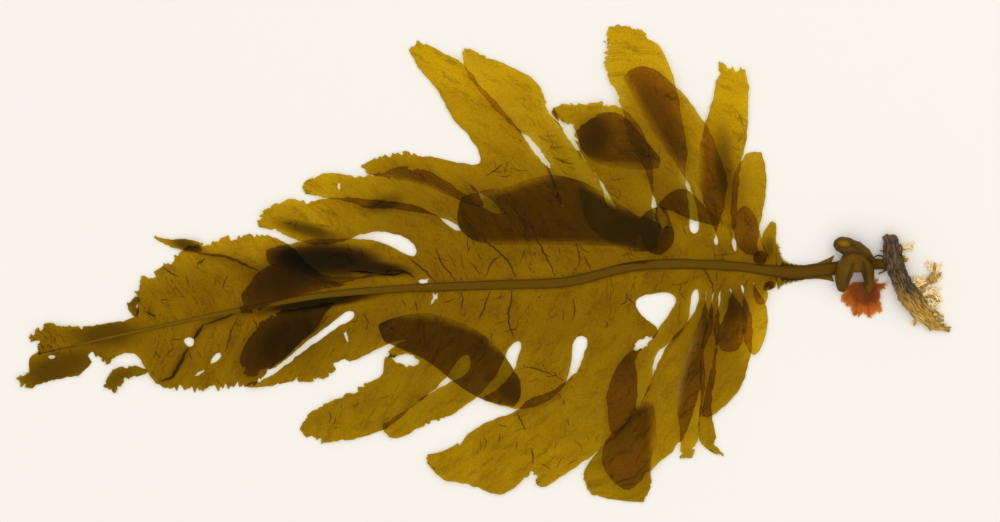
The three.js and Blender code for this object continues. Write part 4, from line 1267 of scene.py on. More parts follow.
def blade_material(name, colour, settings):
    """Wet translucent olive sheet with wrinkles, grain, specks and stains, painted shade along its ripples,
    painted light on the upper lobes' ends, and painted soft shadow edges where sheets overlap.
    """
    shade_tint, deep_stain, soft_shadow_edge = (0.74, 0.7, 0.6), (0.1, 0.07, 0.02), (0.96, 0.9, 0.45)
    material, nodes, shader = new_material(name)
    tissue = mottle(nodes, speck_density=0.5)
    vein = nodes.vein()
    carried = ("crease", "stain", "margin", "fold", "soft")
    crease, stain, margin, fold, soft = (nodes.value(label) for label in carried)
    place = nodes.split(vein)
    near = nodes.ramp(nodes.math("ABSOLUTE", place["Y"]), 52.0, 10.0)
    wide = crease_lines(nodes, vein, spacing=3.4, length=15.0, width=0.03, share=0.52, seed=2)
    small = crease_lines(nodes, vein, spacing=2.0, length=3.2, width=0.11, share=0.5, seed=5)
    lines = nodes.times(wide, nodes.plus(nodes.times(near, 0.6), 0.4))
    # Paler towards the lobes' ends: thinner tissue there, and painted light that is brighter over the upper
    # half
    thin = nodes.mix(pale_and_lit_share(nodes, place), colour, settings.tip_colour)
    cloud = nodes.times(nodes.ramp(tissue["Cloud"], 0.65, 0.35), 0.3)
    grain = nodes.times(nodes.ramp(tissue["Grain"], 0.62, 0.38), 0.4)
    # Darker in the tissue's clouds and grain, which is its own tone, and painted shade along the ripples'
    # folds
    mottle_and_fold_shade = nodes.plus(nodes.plus(cloud, grain), nodes.times(fold, 0.22), clamp=True)
    tone = nodes.mix(mottle_and_fold_shade, thin, nodes.mix(1.0, thin, shade_tint, "MULTIPLY"))
    marks = nodes.most(nodes.times(lines, 0.6), nodes.times(crease, 0.3))
    marks = nodes.most(marks, nodes.times(small, 0.36))
    marks = nodes.most(marks, nodes.times(tissue["Speck"], 0.4))
    edge = nodes.times(nodes.ramp(margin, 0.8, 0.1), 0.3)
    marks = nodes.most(nodes.most(marks, edge), stain, clamp=True)
    tone = nodes.mix(marks, tone, settings.crease_colour)
    tone = nodes.mix(nodes.ramp(stain, 1.0, 1.8), tone, deep_stain)
    # Painted light: clear towards the listed margins, so the dark of an overlap fades like a soft shadow
    tone = nodes.mix(nodes.times(soft, nodes.ramp(margin, 4.5, 0.4)), tone, soft_shadow_edge)
    rough = nodes.plus(nodes.times(tissue["Grain"], 0.12), 0.14)
    height = nodes.plus(nodes.times(lines, -1.0), nodes.times(tissue["Grain"], 0.5))
    wet_surface(nodes, shader, tone, rough, height, strength=0.3, depth=0.25 * MM)
    shader.inputs["Transmission Weight"].default_value = 0.98
    shader.inputs["IOR"].default_value = WET_IOR
    shader.inputs["Coat Weight"].default_value = 0.02
    shader.inputs["Coat Roughness"].default_value = 0.12
    return material


def strap_material(settings):
    """Wet midrib with fine lengthwise lines and darker edges."""
    stipe_tint = (0.88, 0.84, 1.0)
    dark = tuple(c * k for c, k in zip(settings.colour, (0.5, 0.46, 0.5)))
    material, nodes, shader = new_material("wet midrib")
    tissue = mottle(nodes, speck_density=0.3)
    place = nodes.split(nodes.vein())
    across, stipe, fade = (nodes.value(label) for label in ("across", "stipe", "fade"))
    striae = nodes.noise(nodes.combine(nodes.times(place["X"], 0.06), place["Y"]), scale=2.4, detail=3.0)
    edge = nodes.ramp(nodes.math("ABSOLUTE", across), 0.5, 0.95)
    lines = nodes.ramp(striae, 0.45, 0.7)
    tone = nodes.mix(nodes.times(lines, 0.35), settings.colour, dark)
    tone = nodes.mix(nodes.times(tissue["Speck"], 0.3), tone, dark)
    tone = nodes.mix(nodes.times(edge, 0.7), tone, dark)
    tone = nodes.mix(nodes.times(fade, 0.7), tone, settings.tip_tone)
    tone = nodes.mix(stipe, tone, nodes.mix(1.0, tone, stipe_tint, "MULTIPLY"))
    rough = nodes.plus(nodes.times(lines, 0.15), 0.3)
    wet_surface(nodes, shader, tone, rough, striae, strength=0.2, depth=0.2 * MM)
    shader.inputs["Specular IOR Level"].default_value = 0.04
    return material


def fleshy_material():
    """Dark glossy olive flesh with painted shade in the grooves between its folds, a little paler in the
    hollow of its roll.
    """
    dark, light = (0.07, 0.031, 0.0006), (0.145, 0.07, 0.0012)
    # The sunk tone is painted shade, laid in the grooves between the folds
    sunk, inner, speck = (0.02, 0.01, 0.0005), (0.3, 0.17, 0.01), (0.015, 0.01, 0.002)
    material, nodes, shader = new_material("sporophyll flesh")
    tissue = mottle(nodes, speck_density=0.4)
    tone = nodes.mix(nodes.ramp(tissue["Cloud"], 0.3, 0.7), dark, light)
    # Painted shade in the grooves
    tone = nodes.mix(nodes.times(nodes.value("groove_shade"), 0.6), tone, sunk)
    tone = nodes.mix(nodes.value("pale"), tone, inner)
    tone = nodes.mix(nodes.times(tissue["Speck"], 0.5), tone, speck)
    rough = nodes.plus(nodes.times(tissue["Grain"], 0.2), 0.2)
    wet_surface(nodes, shader, tone, rough, tissue["Grain"], strength=0.25, depth=0.3 * MM)
    shader.inputs["Specular IOR Level"].default_value = 0.08
    return material


def root_material():
    """Fibrous root: dark grey-brown where old, golden further on, and cream on the fine haptera."""
    material, nodes, shader = new_material("fibrous root")
    tissue = mottle(nodes, speck_density=0.55)
    place = nodes.split(nodes.vein())
    pale = nodes.value("pale")
    fibre = nodes.noise(nodes.combine(nodes.times(place["X"], 0.12), place["Y"]), scale=2.2, detail=4.0)
    strand = nodes.ramp(fibre, 0.42, 0.62)
    old = nodes.mix(strand, (0.02, 0.013, 0.008), (0.15, 0.088, 0.042))
    golden = nodes.mix(strand, (0.25, 0.13, 0.01), (0.66, 0.41, 0.08))
    cream = nodes.mix(strand, (0.92, 0.66, 0.28), (1.0, 0.86, 0.5))
    speck = (0.03, 0.018, 0.008)
    share = nodes.plus(nodes.times(nodes.minus(tissue["Cloud"], 0.5), 1.2), pale)
    tone = nodes.mix(nodes.plus(share, 0.05, clamp=True), old, golden)
    tone = nodes.mix(nodes.times(tissue["Speck"], 0.6), tone, speck)
    tone = nodes.mix(nodes.ramp(pale, 1.3, 1.7), tone, cream)
    rough = nodes.plus(nodes.times(tissue["Grain"], 0.3), 0.4)
    height = nodes.plus(fibre, nodes.times(tissue["Grain"], 0.5))
    wet_surface(nodes, shader, tone, rough, height, strength=0.6, depth=0.5 * MM)
    shader.inputs["Specular IOR Level"].default_value = 0.2
    return material


def alga_material():
    """Thin red alga, translucent, from orange-brown to deep red."""
    orange, deep_red, fringe = (0.76, 0.38, 0.08), (0.72, 0.34, 0.11), (0.86, 0.42, 0.1)
    cloud_tint, speck = (0.7, 0.55, 0.5), (0.3, 0.06, 0.03)
    material, nodes, shader = new_material("red alga")
    tissue = mottle(nodes, speck_density=0.4)
    tone = nodes.mix(nodes.value("deep"), orange, deep_red)
    tone = nodes.mix(nodes.value("fringe"), tone, fringe)
    cloud = nodes.times(nodes.ramp(tissue["Cloud"], 0.4, 0.65), 0.6)
    tone = nodes.mix(cloud, tone, nodes.mix(1.0, tone, cloud_tint, "MULTIPLY"))
    tone = nodes.mix(nodes.times(tissue["Speck"], 0.6), tone, speck)
    rough = nodes.plus(nodes.times(tissue["Grain"], 0.2), 0.25)
    wet_surface(nodes, shader, tone, rough, tissue["Grain"], strength=0.4, depth=0.3 * MM)
    shader.inputs["Transmission Weight"].default_value = 0.9
    shader.inputs["IOR"].default_value = WET_IOR
    return material


def end_tree(tree, nodes, geometry, given, out):
    """Ends a geometry tree: its instances become plain mesh with the given material."""
    plain = nodes.add("GeometryNodeRealizeInstances", {"Geometry": geometry}).outputs[0]
    coated = nodes.add("GeometryNodeSetMaterial", {"Geometry": plain, "Material": given["Material"]})
    tree.links.new(coated.outputs[0], out["Geometry"])
    return tree


def strap_tree():
    """Geometry nodes: a closed strap along paths, its half width and half height read from the path."""
    name = "Strap along a path"
    if name in bpy.data.node_groups:
        return bpy.data.node_groups[name]
    shape = [("Geometry", "NodeSocketGeometry")]
    sockets = shape + [("Sides", "NodeSocketInt"), ("Material", "NodeSocketMaterial")]
    tree, nodes, given, out = new_group(name, sockets, shape, "GeometryNodeTree")
    path = nodes.add("GeometryNodeMeshToCurve", {"Mesh": given["Geometry"]}).outputs[0]
    path = nodes.add("GeometryNodeSetCurveNormal", {"Curve": path}, mode="Z_UP").outputs[0]
    ring = nodes.add("GeometryNodeCurvePrimitiveCircle", {"Resolution": given["Sides"], "Radius": 1.0})
    wide = nodes.named("half_width")
    sweep = {"Curve": path, "Profile Curve": ring.outputs[0], "Scale": wide, "Fill Caps": True}
    strap = nodes.add("GeometryNodeCurveToMesh", sweep).outputs[0]
    place = nodes.split(nodes.add("GeometryNodeInputPosition").outputs[0])
    axis = nodes.named("axis")
    flat = nodes.math("DIVIDE", nodes.named("half_height"), wide)
    high = nodes.plus(axis, nodes.times(nodes.minus(place["Z"], axis), flat))
    moved = nodes.combine(place["X"], place["Y"], high)
    strap = nodes.add("GeometryNodeSetPosition", {"Geometry": strap, "Position": moved}).outputs[0]
    return end_tree(tree, nodes, strap, given, out)


def leaflet_shape(nodes, given):
    """One leaflet that points along X, with the tree's own length, width and thickness."""
    cone = {"Vertices": 8, "Side Segments": 4, "Radius Bottom": 0.5, "Depth": 1.0}
    leaflet = nodes.add("GeometryNodeMeshCone", {**cone, "Radius Top": given["Blunt"]}).outputs["Mesh"]
    lying = {"Geometry": leaflet, "Rotation": (0.0, math.pi / 2, 0.0)}
    leaflet = nodes.add("GeometryNodeTransform", lying).outputs[0]
    size = nodes.combine(given["Length"], given["Width"], given["Thickness"])
    return nodes.add("GeometryNodeTransform", {"Geometry": leaflet, "Scale": size}).outputs[0]


def leaflet_tree():
    """Geometry nodes: pointed leaflets along paths, on one side or both, their size read from the path."""
    name = "Leaflets along a path"
    if name in bpy.data.node_groups:
        return bpy.data.node_groups[name]
    shape = [("Geometry", "NodeSocketGeometry")]
    numbers = ("Length", "Width", "Thickness", "Spread", "Other side", "Wobble", "Blunt")
    sockets = shape + [(label, "NodeSocketFloat") for label in numbers]
    sockets += [("Count", "NodeSocketInt"), ("Seed", "NodeSocketInt"), ("Material", "NodeSocketMaterial")]
    tree, nodes, given, out = new_group(name, sockets, shape, "GeometryNodeTree")
    path = nodes.add("GeometryNodeMeshToCurve", {"Mesh": given["Geometry"]}).outputs[0]
    points = nodes.add("GeometryNodeCurveToPoints", {"Curve": path, "Count": given["Count"]}).outputs
    leaflet = leaflet_shape(nodes, given)

    def chance(low, high, offset):
        seed = nodes.plus(given["Seed"], float(offset))
        node = nodes.add("FunctionNodeRandomValue", {"Min": low, "Max": high})
        tree.links.new(seed, node.inputs["Seed"])
        return node.outputs[1]

    flip = nodes.math("LESS_THAN", chance(0.0, 1.0, 0), given["Other side"])
    sign = nodes.minus(1.0, nodes.times(flip, 2.0))
    turn = nodes.times(nodes.times(given["Spread"], sign), chance(0.7, 1.2, 1))
    tilt = nodes.times(given["Wobble"], chance(-1.0, 0.3, 2))
    heading = {"Vector": points["Tangent"]}
    along = nodes.add("FunctionNodeAlignRotationToVector", heading, axis="X").outputs[0]
    lean = {"Euler": nodes.combine(chance(-0.5, 0.5, 3), tilt, turn)}
    lean = nodes.add("FunctionNodeEulerToRotation", lean).outputs[0]
    pose = {"Rotation": along, "Rotate By": lean}
    pose = nodes.add("FunctionNodeRotateRotation", pose, rotation_space="LOCAL").outputs[0]
    scale = nodes.times(nodes.named("size"), chance(0.65, 1.2, 4))
    where = {"Points": points["Points"], "Instance": leaflet, "Rotation": pose, "Scale": scale}
    grown = nodes.add("GeometryNodeInstanceOnPoints", where).outputs[0]
    return end_tree(tree, nodes, grown, given, out)


def path_mesh(paths, **values):
    """A mesh of edges only, one run of edges for each path, with values for each of its points."""
    verts, edges = [], []
    for path in paths:
        first = len(verts)
        verts += [tuple(p) for p in path]
        edges += [(first + k, first + k + 1) for k in range(len(path) - 1)]
    mesh = bpy.data.meshes.new("paths")
    mesh.from_pydata(verts, edges, [])
    for name, value in values.items():
        set_attribute(mesh, name, value)
    return mesh


def grow(mesh, tree, **inputs):
    """A new mesh grown from another by a geometry nodes tree, with the tree's named inputs set first."""
    holder = new_holder(mesh)
    modifier = holder.modifiers.new("grow", "NODES")
    modifier.node_group = tree
    sockets = {item.name: item.identifier for item in tree.interface.items_tree if item.in_out == "INPUT"}
    for label, value in inputs.items():
        modifier[sockets[label.replace("_", " ")]] = value
    result = applied(holder)
    result.shade_smooth()
    return result


def joined(meshes):
    """One mesh made of several."""
    bm = bmesh.new()
    for mesh in meshes:
        bm.from_mesh(mesh)
    result = bpy.data.meshes.new("joined")
    bm.to_mesh(result)
    bm.free()
    result.shade_smooth()
    return result


def refined_path(points, step):
    """A smooth path through the points, with a point about every step."""
    points = np.array(points, dtype=float)
    lengths = lengths_along(points)
    count = max(3, int(lengths[-1] / step) + 1)
    wanted = np.linspace(0, lengths[-1], count)
    path = np.column_stack([np.interp(wanted, lengths, points[:, k]) for k in range(points.shape[1])])
    for _ in range(3):
        path[1:-1] = 0.25 * path[:-2] + 0.5 * path[1:-1] + 0.25 * path[2:]
    return path


def fleshy(node, voxel, rounds):
    """A fine even copy of a solid, its facets smoothed away."""
    bm = bmesh.new()
    bm.from_mesh(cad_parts[node].data)
    bmesh.ops.remove_doubles(bm, verts=bm.verts, dist=MERGE)
    mesh = bpy.data.meshes.new(node)
    bm.to_mesh(mesh)
    bm.free()
    even = {"mode": "VOXEL", "voxel_size": voxel}
    return evaluated(mesh, ("REMESH", even), ("SMOOTH", {"iterations": rounds, "factor": 0.5}))


def normals(mesh):
    """The mesh's vertex normals as an array."""
    values = np.empty(len(mesh.vertices) * 3)
    mesh.vertex_normals.foreach_get("vector", values)
    return values.reshape(-1, 3)


def midrib_mesh(settings, material):
    """The strap of the midrib and stipe: it lies on the blade, and on the floor past the blade's base."""
    line = np.vstack([photo_place(*STIPE_END), midrib_line()[:-1]])
    path = refined_path(line, 2.5 * MM)
    ahead = path[:, 0]
    blade_end = max(v.co.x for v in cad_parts["blade_upper"].data.vertices)
    tip_end = ahead.min()
    share = np.clip((ahead - tip_end) / (FULL_MIDRIB * (blade_end - tip_end)), 0, 1)
    fade = 1 - eased(share)
    share = settings.tip_share + (1 - settings.tip_share) * share
    stipe = eased(np.clip((ahead - blade_end + 14 * MM) / (26 * MM), 0, 1))
    neck = 1 - 0.3 * np.clip((ahead - ahead[0] + 12 * MM) / (8 * MM), 0, 1)
    half_width = (settings.midrib_width * share * (1 - stipe) + settings.stipe_width * stipe) * neck / 2
    half_height = (settings.midrib_height * share * (1 - stipe) + settings.stipe_height * stipe) / 2
    axis = BLADE_THICKNESS * (1 - stipe) + half_height
    wave = layered_noise(np.column_stack([ahead, ahead * 0]), cell=9 * MM, seed=41) - 0.5
    half_width = half_width * (1 + 0.16 * wave)
    places_3d = np.column_stack([path, axis])
    mesh = path_mesh([places_3d], half_width=half_width, half_height=half_height, axis=axis)
    strap = grow(mesh, strap_tree(), Sides=28, Material=material)
    co = places(strap)
    along, side = along_line(co[:, :2], line)
    set_vein(strap, along, side, np.zeros(len(co)))
    set_attribute(strap, "across", side / np.interp(co[:, 0], ahead[::-1], half_width[::-1]))
    set_attribute(strap, "stipe", np.clip((co[:, 0] - blade_end) / (2 * MM) + 1.0, 0, 1))
    set_attribute(strap, "fade", np.interp(co[:, 0], ahead[::-1], fade[::-1]))
    return strap


def frill_mesh(growths, material):
    """Wings of the stipe with teeth along them near the blade, and the curled tips beside them."""
    grain, step, thickness = 0.25 * MM, 0.5 * MM, 0.3 * MM
    wings = [fleshy(name, grain, 3) for name in ("stipe_wing_upper", "stipe_wing_lower")]
    paths, sizes, frills = [], [], []
    for edge, root in FRILLS:
        path = refined_path(photo_path(edge, 0.6 * MM), step)
        foot = refined_path(photo_path(root, 1.2 * MM), step)
        wanted, known = np.linspace(0, 1, len(path)), np.linspace(0, 1, len(foot))
        foot = np.column_stack([np.interp(wanted, known, c) for c in foot.T])
        frills.append(strip_mesh(path, foot, thickness))
        paths.append(path)
        sizes.append(np.interp(path[:, 0], TEETH_FADE, [1.0, 0.5]))
    teeth = grow(
        path_mesh(paths, size=np.concatenate(sizes)), leaflet_tree(), Length=growths.tooth,
        Width=growths.tooth * 0.4, Thickness=thickness, Spread=1.2, Other_side=0.0, Wobble=0.2, Blunt=0.08,
        Count=32, Seed=5, Material=material,
    )
    curls = [curled_tip(*curl) for curl in CURLED_TIPS]
    whole = joined([*wings, *frills, teeth, *curls])
    co = places(whole)
    along, side = along_line(co[:, :2], midrib_line())
    none = np.zeros(len(co))
    curled = np.arange(len(co)) >= len(co) - sum(len(c.vertices) for c in curls)
    set_vein(whole, along, side, none)
    values = {"stain": 0.2 + 0.12 * curled, "crease": none, "fold": none, "soft": none, "margin": none + 5.0}
    for name, value in values.items():
        set_attribute(whole, name, value)
    return whole


def strip_mesh(edge, root, thickness):
    """A thin waved membrane between an edge and the line it grows from."""
    rows, wave = 5, 0.7 * MM
    verts = []
    for k in range(rows + 1):
        row = root + (edge - root) * k / rows
        lift = layered_noise(row[:, :2], cell=2.2 * MM, seed=47, layers=2) - 0.3
        row[:, 2] += wave * lift * k / rows
        verts += [tuple(p) for p in row]
    wide = len(edge)
    faces = [
        (r * wide + k, r * wide + k + 1, (r + 1) * wide + k + 1, (r + 1) * wide + k)
        for r in range(rows) for k in range(wide - 1)
    ]
    mesh = bpy.data.meshes.new("strip")
    mesh.from_pydata(verts, [], faces)
    return thickened(mesh, thickness, offset=0.0)


def slanted(co, x_share, y_share):
    """Places in plan that slide with height, so that noise on them varies up a side too."""
    return np.column_stack([co[:, 0] + x_share * co[:, 2], co[:, 1] + y_share * co[:, 2]])


def curled_tip(px, py, radius, high):
    """A small lobe's tip, curled up into a lumpy ball."""
    bm = bmesh.new()
    bmesh.ops.create_icosphere(bm, subdivisions=4, radius=radius * PIXEL)
    mesh = bpy.data.meshes.new("curled tip")
    bm.to_mesh(mesh)
    bm.free()
    co = places(mesh)
    lump = layered_noise(slanted(co, 1, -1), cell=3 * MM, seed=37, layers=2)
    co *= (0.86 + 0.28 * lump)[:, None]
    co[:, 2] *= 0.7  # it lies a little flat
    co += (*photo_place(px, py), high * MM)
    set_places(mesh, co)
    return mesh


def sporophyll_mesh(growths):
    """The sporophyll with a hollow in the end of its roll and grooves between its folds."""
    swollen, rim_height, hollow_depth, groove_width = 0.35 * MM, 0.5 * MM, 2.0 * MM, 0.9 * MM
    mesh = fleshy("sporophyll", growths.voxel, 3)
    co = places(mesh) + normals(mesh) * swollen
    facing = np.clip(normals(mesh)[:, 2] * 2, 0, 1)
    cup = inside_ellipse(co[:, :2], *CUP)
    hollow = np.clip(1 - cup**2, 0, 1)
    rim = np.exp(-(((cup - 1.15) / 0.22) ** 2))
    co[:, 2] += facing * (rim_height * rim - hollow_depth * hollow)
    # How far into a groove each point lies, for the painted shade there
    groove_shade = np.zeros(len(co))
    for depth, pixels in GROOVES.values():
        away = distance_to_path(co[:, :2], photo_line(pixels))
        sunk = np.exp(-((away / groove_width) ** 2))
        groove_shade = np.maximum(groove_shade, sunk)
        co[:, 2] -= facing * depth * MM * sunk
    wave = layered_noise(slanted(co, 0.6, -0.4), cell=3.5 * MM, seed=61)
    co += normals(mesh) * ((wave - 0.5) * 0.8 * MM)[:, None]
    set_places(mesh, co)
    set_attribute(mesh, "pale", np.clip(1.7 - 1.3 * cup, 0, 1))
    set_attribute(mesh, "groove_shade", groove_shade)
    mesh.shade_smooth()
    return mesh


def holdfast_mesh(growths):
    """The holdfast with lengthwise furrows, straw-coloured towards its end and on its flanks."""
    mesh = fleshy("holdfast", growths.voxel, 2)
    co = places(mesh)
    along, side = along_line(co[:, :2], photo_line(HOLDFAST_LINE))
    furrow = np.column_stack([along * 0.25, side + 0.5 * co[:, 2]])
    ridge = 1 - np.abs(2 * layered_noise(furrow, cell=1.6 * MM, seed=71) - 1)
    lump = layered_noise(slanted(co, 1, -1), cell=3.2 * MM, seed=77) - 0.5
    knob = layered_noise(slanted(co, -1, 1), cell=1.5 * MM, seed=83, layers=2) - 0.5
    thick = np.clip((46 * MM - along) / (12 * MM), 0.2, 1)
    co += normals(mesh) * ((growths.gnarl * ((ridge - 0.6) + lump + 0.9 * knob)) * thick)[:, None]
    co[:, 2] = np.maximum(co[:, 2], 0)
    set_places(mesh, co)
    end = np.clip((along - 34 * MM) / (14 * MM), 0, 1)
    flank = np.clip((np.abs(side) - 4.2 * MM) / (2 * MM), 0, 1)
    outer = np.clip((along - 20 * MM) / (14 * MM), 0, 0.75) * (side > 0.5 * MM)
    set_vein(mesh, along, side, co[:, 2])
    set_attribute(mesh, "pale", np.maximum(np.maximum(end, flank), outer))
    mesh.shade_smooth()
    return mesh


def root_fibres(core, line):
    """Fibres that run along the holdfast on its top: for each a path."""
    lift, shortest = 0.05 * MM, 6
    surface = surface_of(core)
    chance = random.Random(12)
    middle = refined_path(line, 1.0 * MM)
    paths = []
    for _ in range(ROOT_FIBRES):
        first = chance.randrange(0, len(middle) - 14)
        drift = chance.uniform(-4.5, 4.5) * MM
        path = []
        for k in range(first, min(len(middle) - 1, first + chance.randrange(8, 26))):
            ahead = middle[k + 1] - middle[k]
            drift += chance.gauss(0, 0.25) * MM
            x, y = middle[k] + drift * np.array((-ahead[1], ahead[0])) / np.linalg.norm(ahead)
            top = top_of(surface, x, y)
            if top is not None:
                path.append((x, y, top.z + lift))
        if len(path) >= shortest:
            paths.append(np.array(path))
    return paths


def thread_paths(growths, chance):
    """The haptera and the neck's torn threads: their paths, and the radius at each point."""
    step, wander, finer = 0.8 * MM, 0.25, 0.72
    paths, radii = [], []
    for radius, points in HAPTERA + NECK_THREADS:
        path = refined_path([(*photo_place(px, py), z * MM) for px, py, z in points], step)
        path[1:, :2] += [[chance.uniform(-wander, wander) * MM for _ in range(2)] for _ in path[1:]]
        paths.append(path)
        taper = np.linspace(1, 0.5, len(path)) * [chance.uniform(0.8, 1.2) for _ in path]
        radii.append(finer * radius * MM * taper * growths.hapteron / HAPTERON)
    return paths, radii


def twig_knobs(twigs, material):
    """Blunt knobs along the haptera."""
    return grow(
        path_mesh(twigs, size=np.ones(sum(len(twig) for twig in twigs))), leaflet_tree(), Length=2.0 * MM,
        Width=0.9 * MM, Thickness=0.7 * MM, Spread=0.9, Other_side=0.5, Wobble=0.5, Blunt=0.3, Count=9,
        Seed=9, Material=material,
    )


def margin_stubs(height, length, pixels, seed, material):
    """Torn stubs along one margin of the holdfast."""
    margin = refined_path(photo_path(pixels, height * MM), 0.8 * MM)
    return grow(
        path_mesh([margin], size=np.ones(len(margin))), leaflet_tree(), Length=length * MM,
        Width=0.75 * length * MM, Thickness=0.6 * length * MM, Spread=0.8, Other_side=0.15, Wobble=0.6,
        Blunt=0.22, Count=9, Seed=seed, Material=material,
    )


def strands_mesh(growths, material, core):
    """Fine haptera that branch from the holdfast, fibres along it, and the torn stubs along its margins."""
    chance = random.Random(8)
    paths, radii = thread_paths(growths, chance)
    line = photo_line(HOLDFAST_LINE)
    fibres = root_fibres(core, line)
    tones = [CREAM_TONE] * len(HAPTERA) + [NECK_TONE] * len(NECK_THREADS) + [BESIDE_TONE] * len(fibres)
    paths += fibres
    for path in fibres:
        taper = np.sin(np.linspace(0.25, math.pi - 0.25, len(path)))
        radii.append(chance.uniform(0.25, 0.5) * MM * taper)
    tone = np.concatenate([np.full(len(path), tone) for path, tone in zip(paths, tones)])
    radius = np.concatenate(radii)
    high = np.concatenate([path[:, 2] for path in paths])
    mesh = path_mesh(paths, half_width=radius, half_height=radius, axis=high, tone=tone)
    parts = [grow(mesh, strap_tree(), Sides=8, Material=material)]
    carried = [values_of(parts[0], "tone")]
    knobs = twig_knobs(paths[: len(HAPTERA)], material)
    parts.append(knobs)
    carried.append(np.full(len(knobs.vertices), CREAM_TONE))
    for number, row in enumerate(ROOT_MARGINS):
        stubs = margin_stubs(*row, seed=3 + number, material=material)
        parts.append(stubs)
        carried.append(np.full(len(stubs.vertices), BESIDE_TONE))
    whole = joined(parts)
    drop_attributes(whole, "tone", "half_width", "half_height", "axis", "size")
    co = places(whole)
    along, side = along_line(co[:, :2], line)
    tone = np.concatenate(carried)
    aged = np.clip((along - 24 * MM) / (16 * MM), 0, 1) * 1.3 - 0.2
    aged = aged + 0.3 * np.clip(side / (3 * MM), -0.5, 1)
    set_vein(whole, along, side, co[:, 2])
    set_attribute(whole, "pale", np.where(tone > 0, tone, aged))
    return whole


def alga_membrane(turn, share, lift, seed):
    """One thin waved fan of the red alga with a torn margin, turned and scaled about its root."""
    thickness, wave, droop = 0.2 * MM, 1.6 * MM, 0.5 * MM
    chance = random.Random(seed)
    root = np.array(photo_place(*ALGA_ROOT))
    margin = refined_path(photo_line(ALGA_MARGIN), 0.6 * MM)
    wide = len(margin)
    torn = np.array([1 - 0.12 * chance.random() ** 2 - 0.06 * (k % 2) for k in range(wide)])
    reach = (margin - root) * (share * torn)[:, None]
    cos, sin = math.cos(turn), math.sin(turn)
    reach = np.column_stack([reach[:, 0] * cos - reach[:, 1] * sin, reach[:, 0] * sin + reach[:, 1] * cos])
    rings = np.linspace(0.04, 1.0, 18)
    plan = root + (rings[:, None, None] * reach[None]).reshape(-1, 2)
    high = lift * MM + wave * layered_noise(plan + seed * MM, cell=3.6 * MM, seed=91)
    high = high - droop * np.repeat(rings, wide)
    faces = [
        (r * wide + k, (r + 1) * wide + k, (r + 1) * wide + k + 1, r * wide + k + 1)
        for r in range(len(rings) - 1) for k in range(wide - 1)
    ]
    sheet = bpy.data.meshes.new("membrane")
    sheet.from_pydata([tuple(p) for p in np.column_stack([plan, high])], [], faces)
    return thickened(sheet, thickness, offset=0.0)


def alga_mesh(growths, material):
    """The red alga: thin torn membranes, fine stems, and small leaflets along the stems."""
    membranes = [alga_membrane(*fan) for fan in ALGA_FANS]
    paths = []
    for stem in ALGA_STEMS:
        points = [(*photo_place(*p), z * MM) for p, z in zip(stem, ALGA_STEM_HEIGHTS)]
        paths.append(refined_path(points, 1.0 * MM))
    share = np.concatenate([np.linspace(0, 1, len(path)) for path in paths])
    radius = (0.3 - 0.18 * share) * MM
    high = np.concatenate([path[:, 2] for path in paths])
    mesh = path_mesh(paths, half_width=radius, half_height=radius, axis=high)
    stems = grow(mesh, strap_tree(), Sides=8, Material=material)
    leaflets = grow(
        path_mesh(paths, size=0.9 - 0.3 * share), leaflet_tree(), Length=growths.leaflet,
        Width=growths.leaflet * 0.4, Thickness=0.3 * MM, Spread=0.75, Other_side=0.5, Wobble=0.35, Blunt=0.06,
        Count=9, Seed=4, Material=material,
    )
    whole = joined([*membranes, stems, leaflets])
    drop_attributes(whole, "half_width", "half_height", "axis", "size")
    plan = places(whole)[:, :2]
    left, right = (photo_place(px, 0)[0] for px in ALGA_DEEP)
    low = photo_place(0, ALGA_FRINGE)[1]
    set_attribute(whole, "deep", 0.75 * np.clip((plan[:, 0] - left) / (right - left), 0, 1))
    set_attribute(whole, "fringe", np.clip((low - plan[:, 1]) / (4 * MM), 0, 1))
    return whole


def sheet_names(side):
    """The nodes of one half of the blade: the half itself, then its lobes and fingers."""
    return ["blade_" + side] + sorted(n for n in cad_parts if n.startswith(side + "_"))


class KELP_OT_blade(bpy.types.Operator):
    """Makes both halves of the blade with their lobes, and the pleats and flaps"""

    bl_idname = "kelp.blade"
    bl_label = "Blade"

    def execute(self, context):
        settings = context.scene.kelp_blade
        material = blade_material("wet kelp blade", settings.colour, settings)
        for side in SIDES:
            names = sheet_names(side)
            mesh = sheet_mesh(names, settings, HOLES.values(), side, material)
            add_piece(f"{side}_blade_and_lobes", mesh, material, names)
        names = sorted(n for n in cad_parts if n.startswith(PLEAT_PREFIXES))
        under = blade_material("wet kelp pleat", settings.pleat_colour, settings)
        add_piece("pleats_and_flaps", sheet_mesh(names, settings, [FLAP_WINDOW]), under, names)
        return {"FINISHED"}


class KELP_OT_strap(bpy.types.Operator):
    """Makes the midrib and the stipe, and the toothed wings beside it"""

    bl_idname = "kelp.strap"
    bl_label = "Midrib and stipe"

    def execute(self, context):
        settings = context.scene.kelp_strap
        growths = context.scene.kelp_growths
        strap = strap_material(settings)
        add_piece("midrib_and_stipe", midrib_mesh(settings, strap), strap, ["stipe_and_midrib"])
        blade = bpy.data.materials["wet kelp blade"]
        wings = ["stipe_wing_upper", "stipe_wing_lower"]
        add_piece("stipe_frill", frill_mesh(growths, blade), blade, wings)
        return {"FINISHED"}


class KELP_OT_sporophyll(bpy.types.Operator):
    """Makes the folded sporophyll"""

    bl_idname = "kelp.sporophyll"
    bl_label = "Sporophyll"

    def execute(self, context):
        mesh = sporophyll_mesh(context.scene.kelp_growths)
        add_piece("folded_sporophyll", mesh, fleshy_material(), ["sporophyll"])
        return {"FINISHED"}


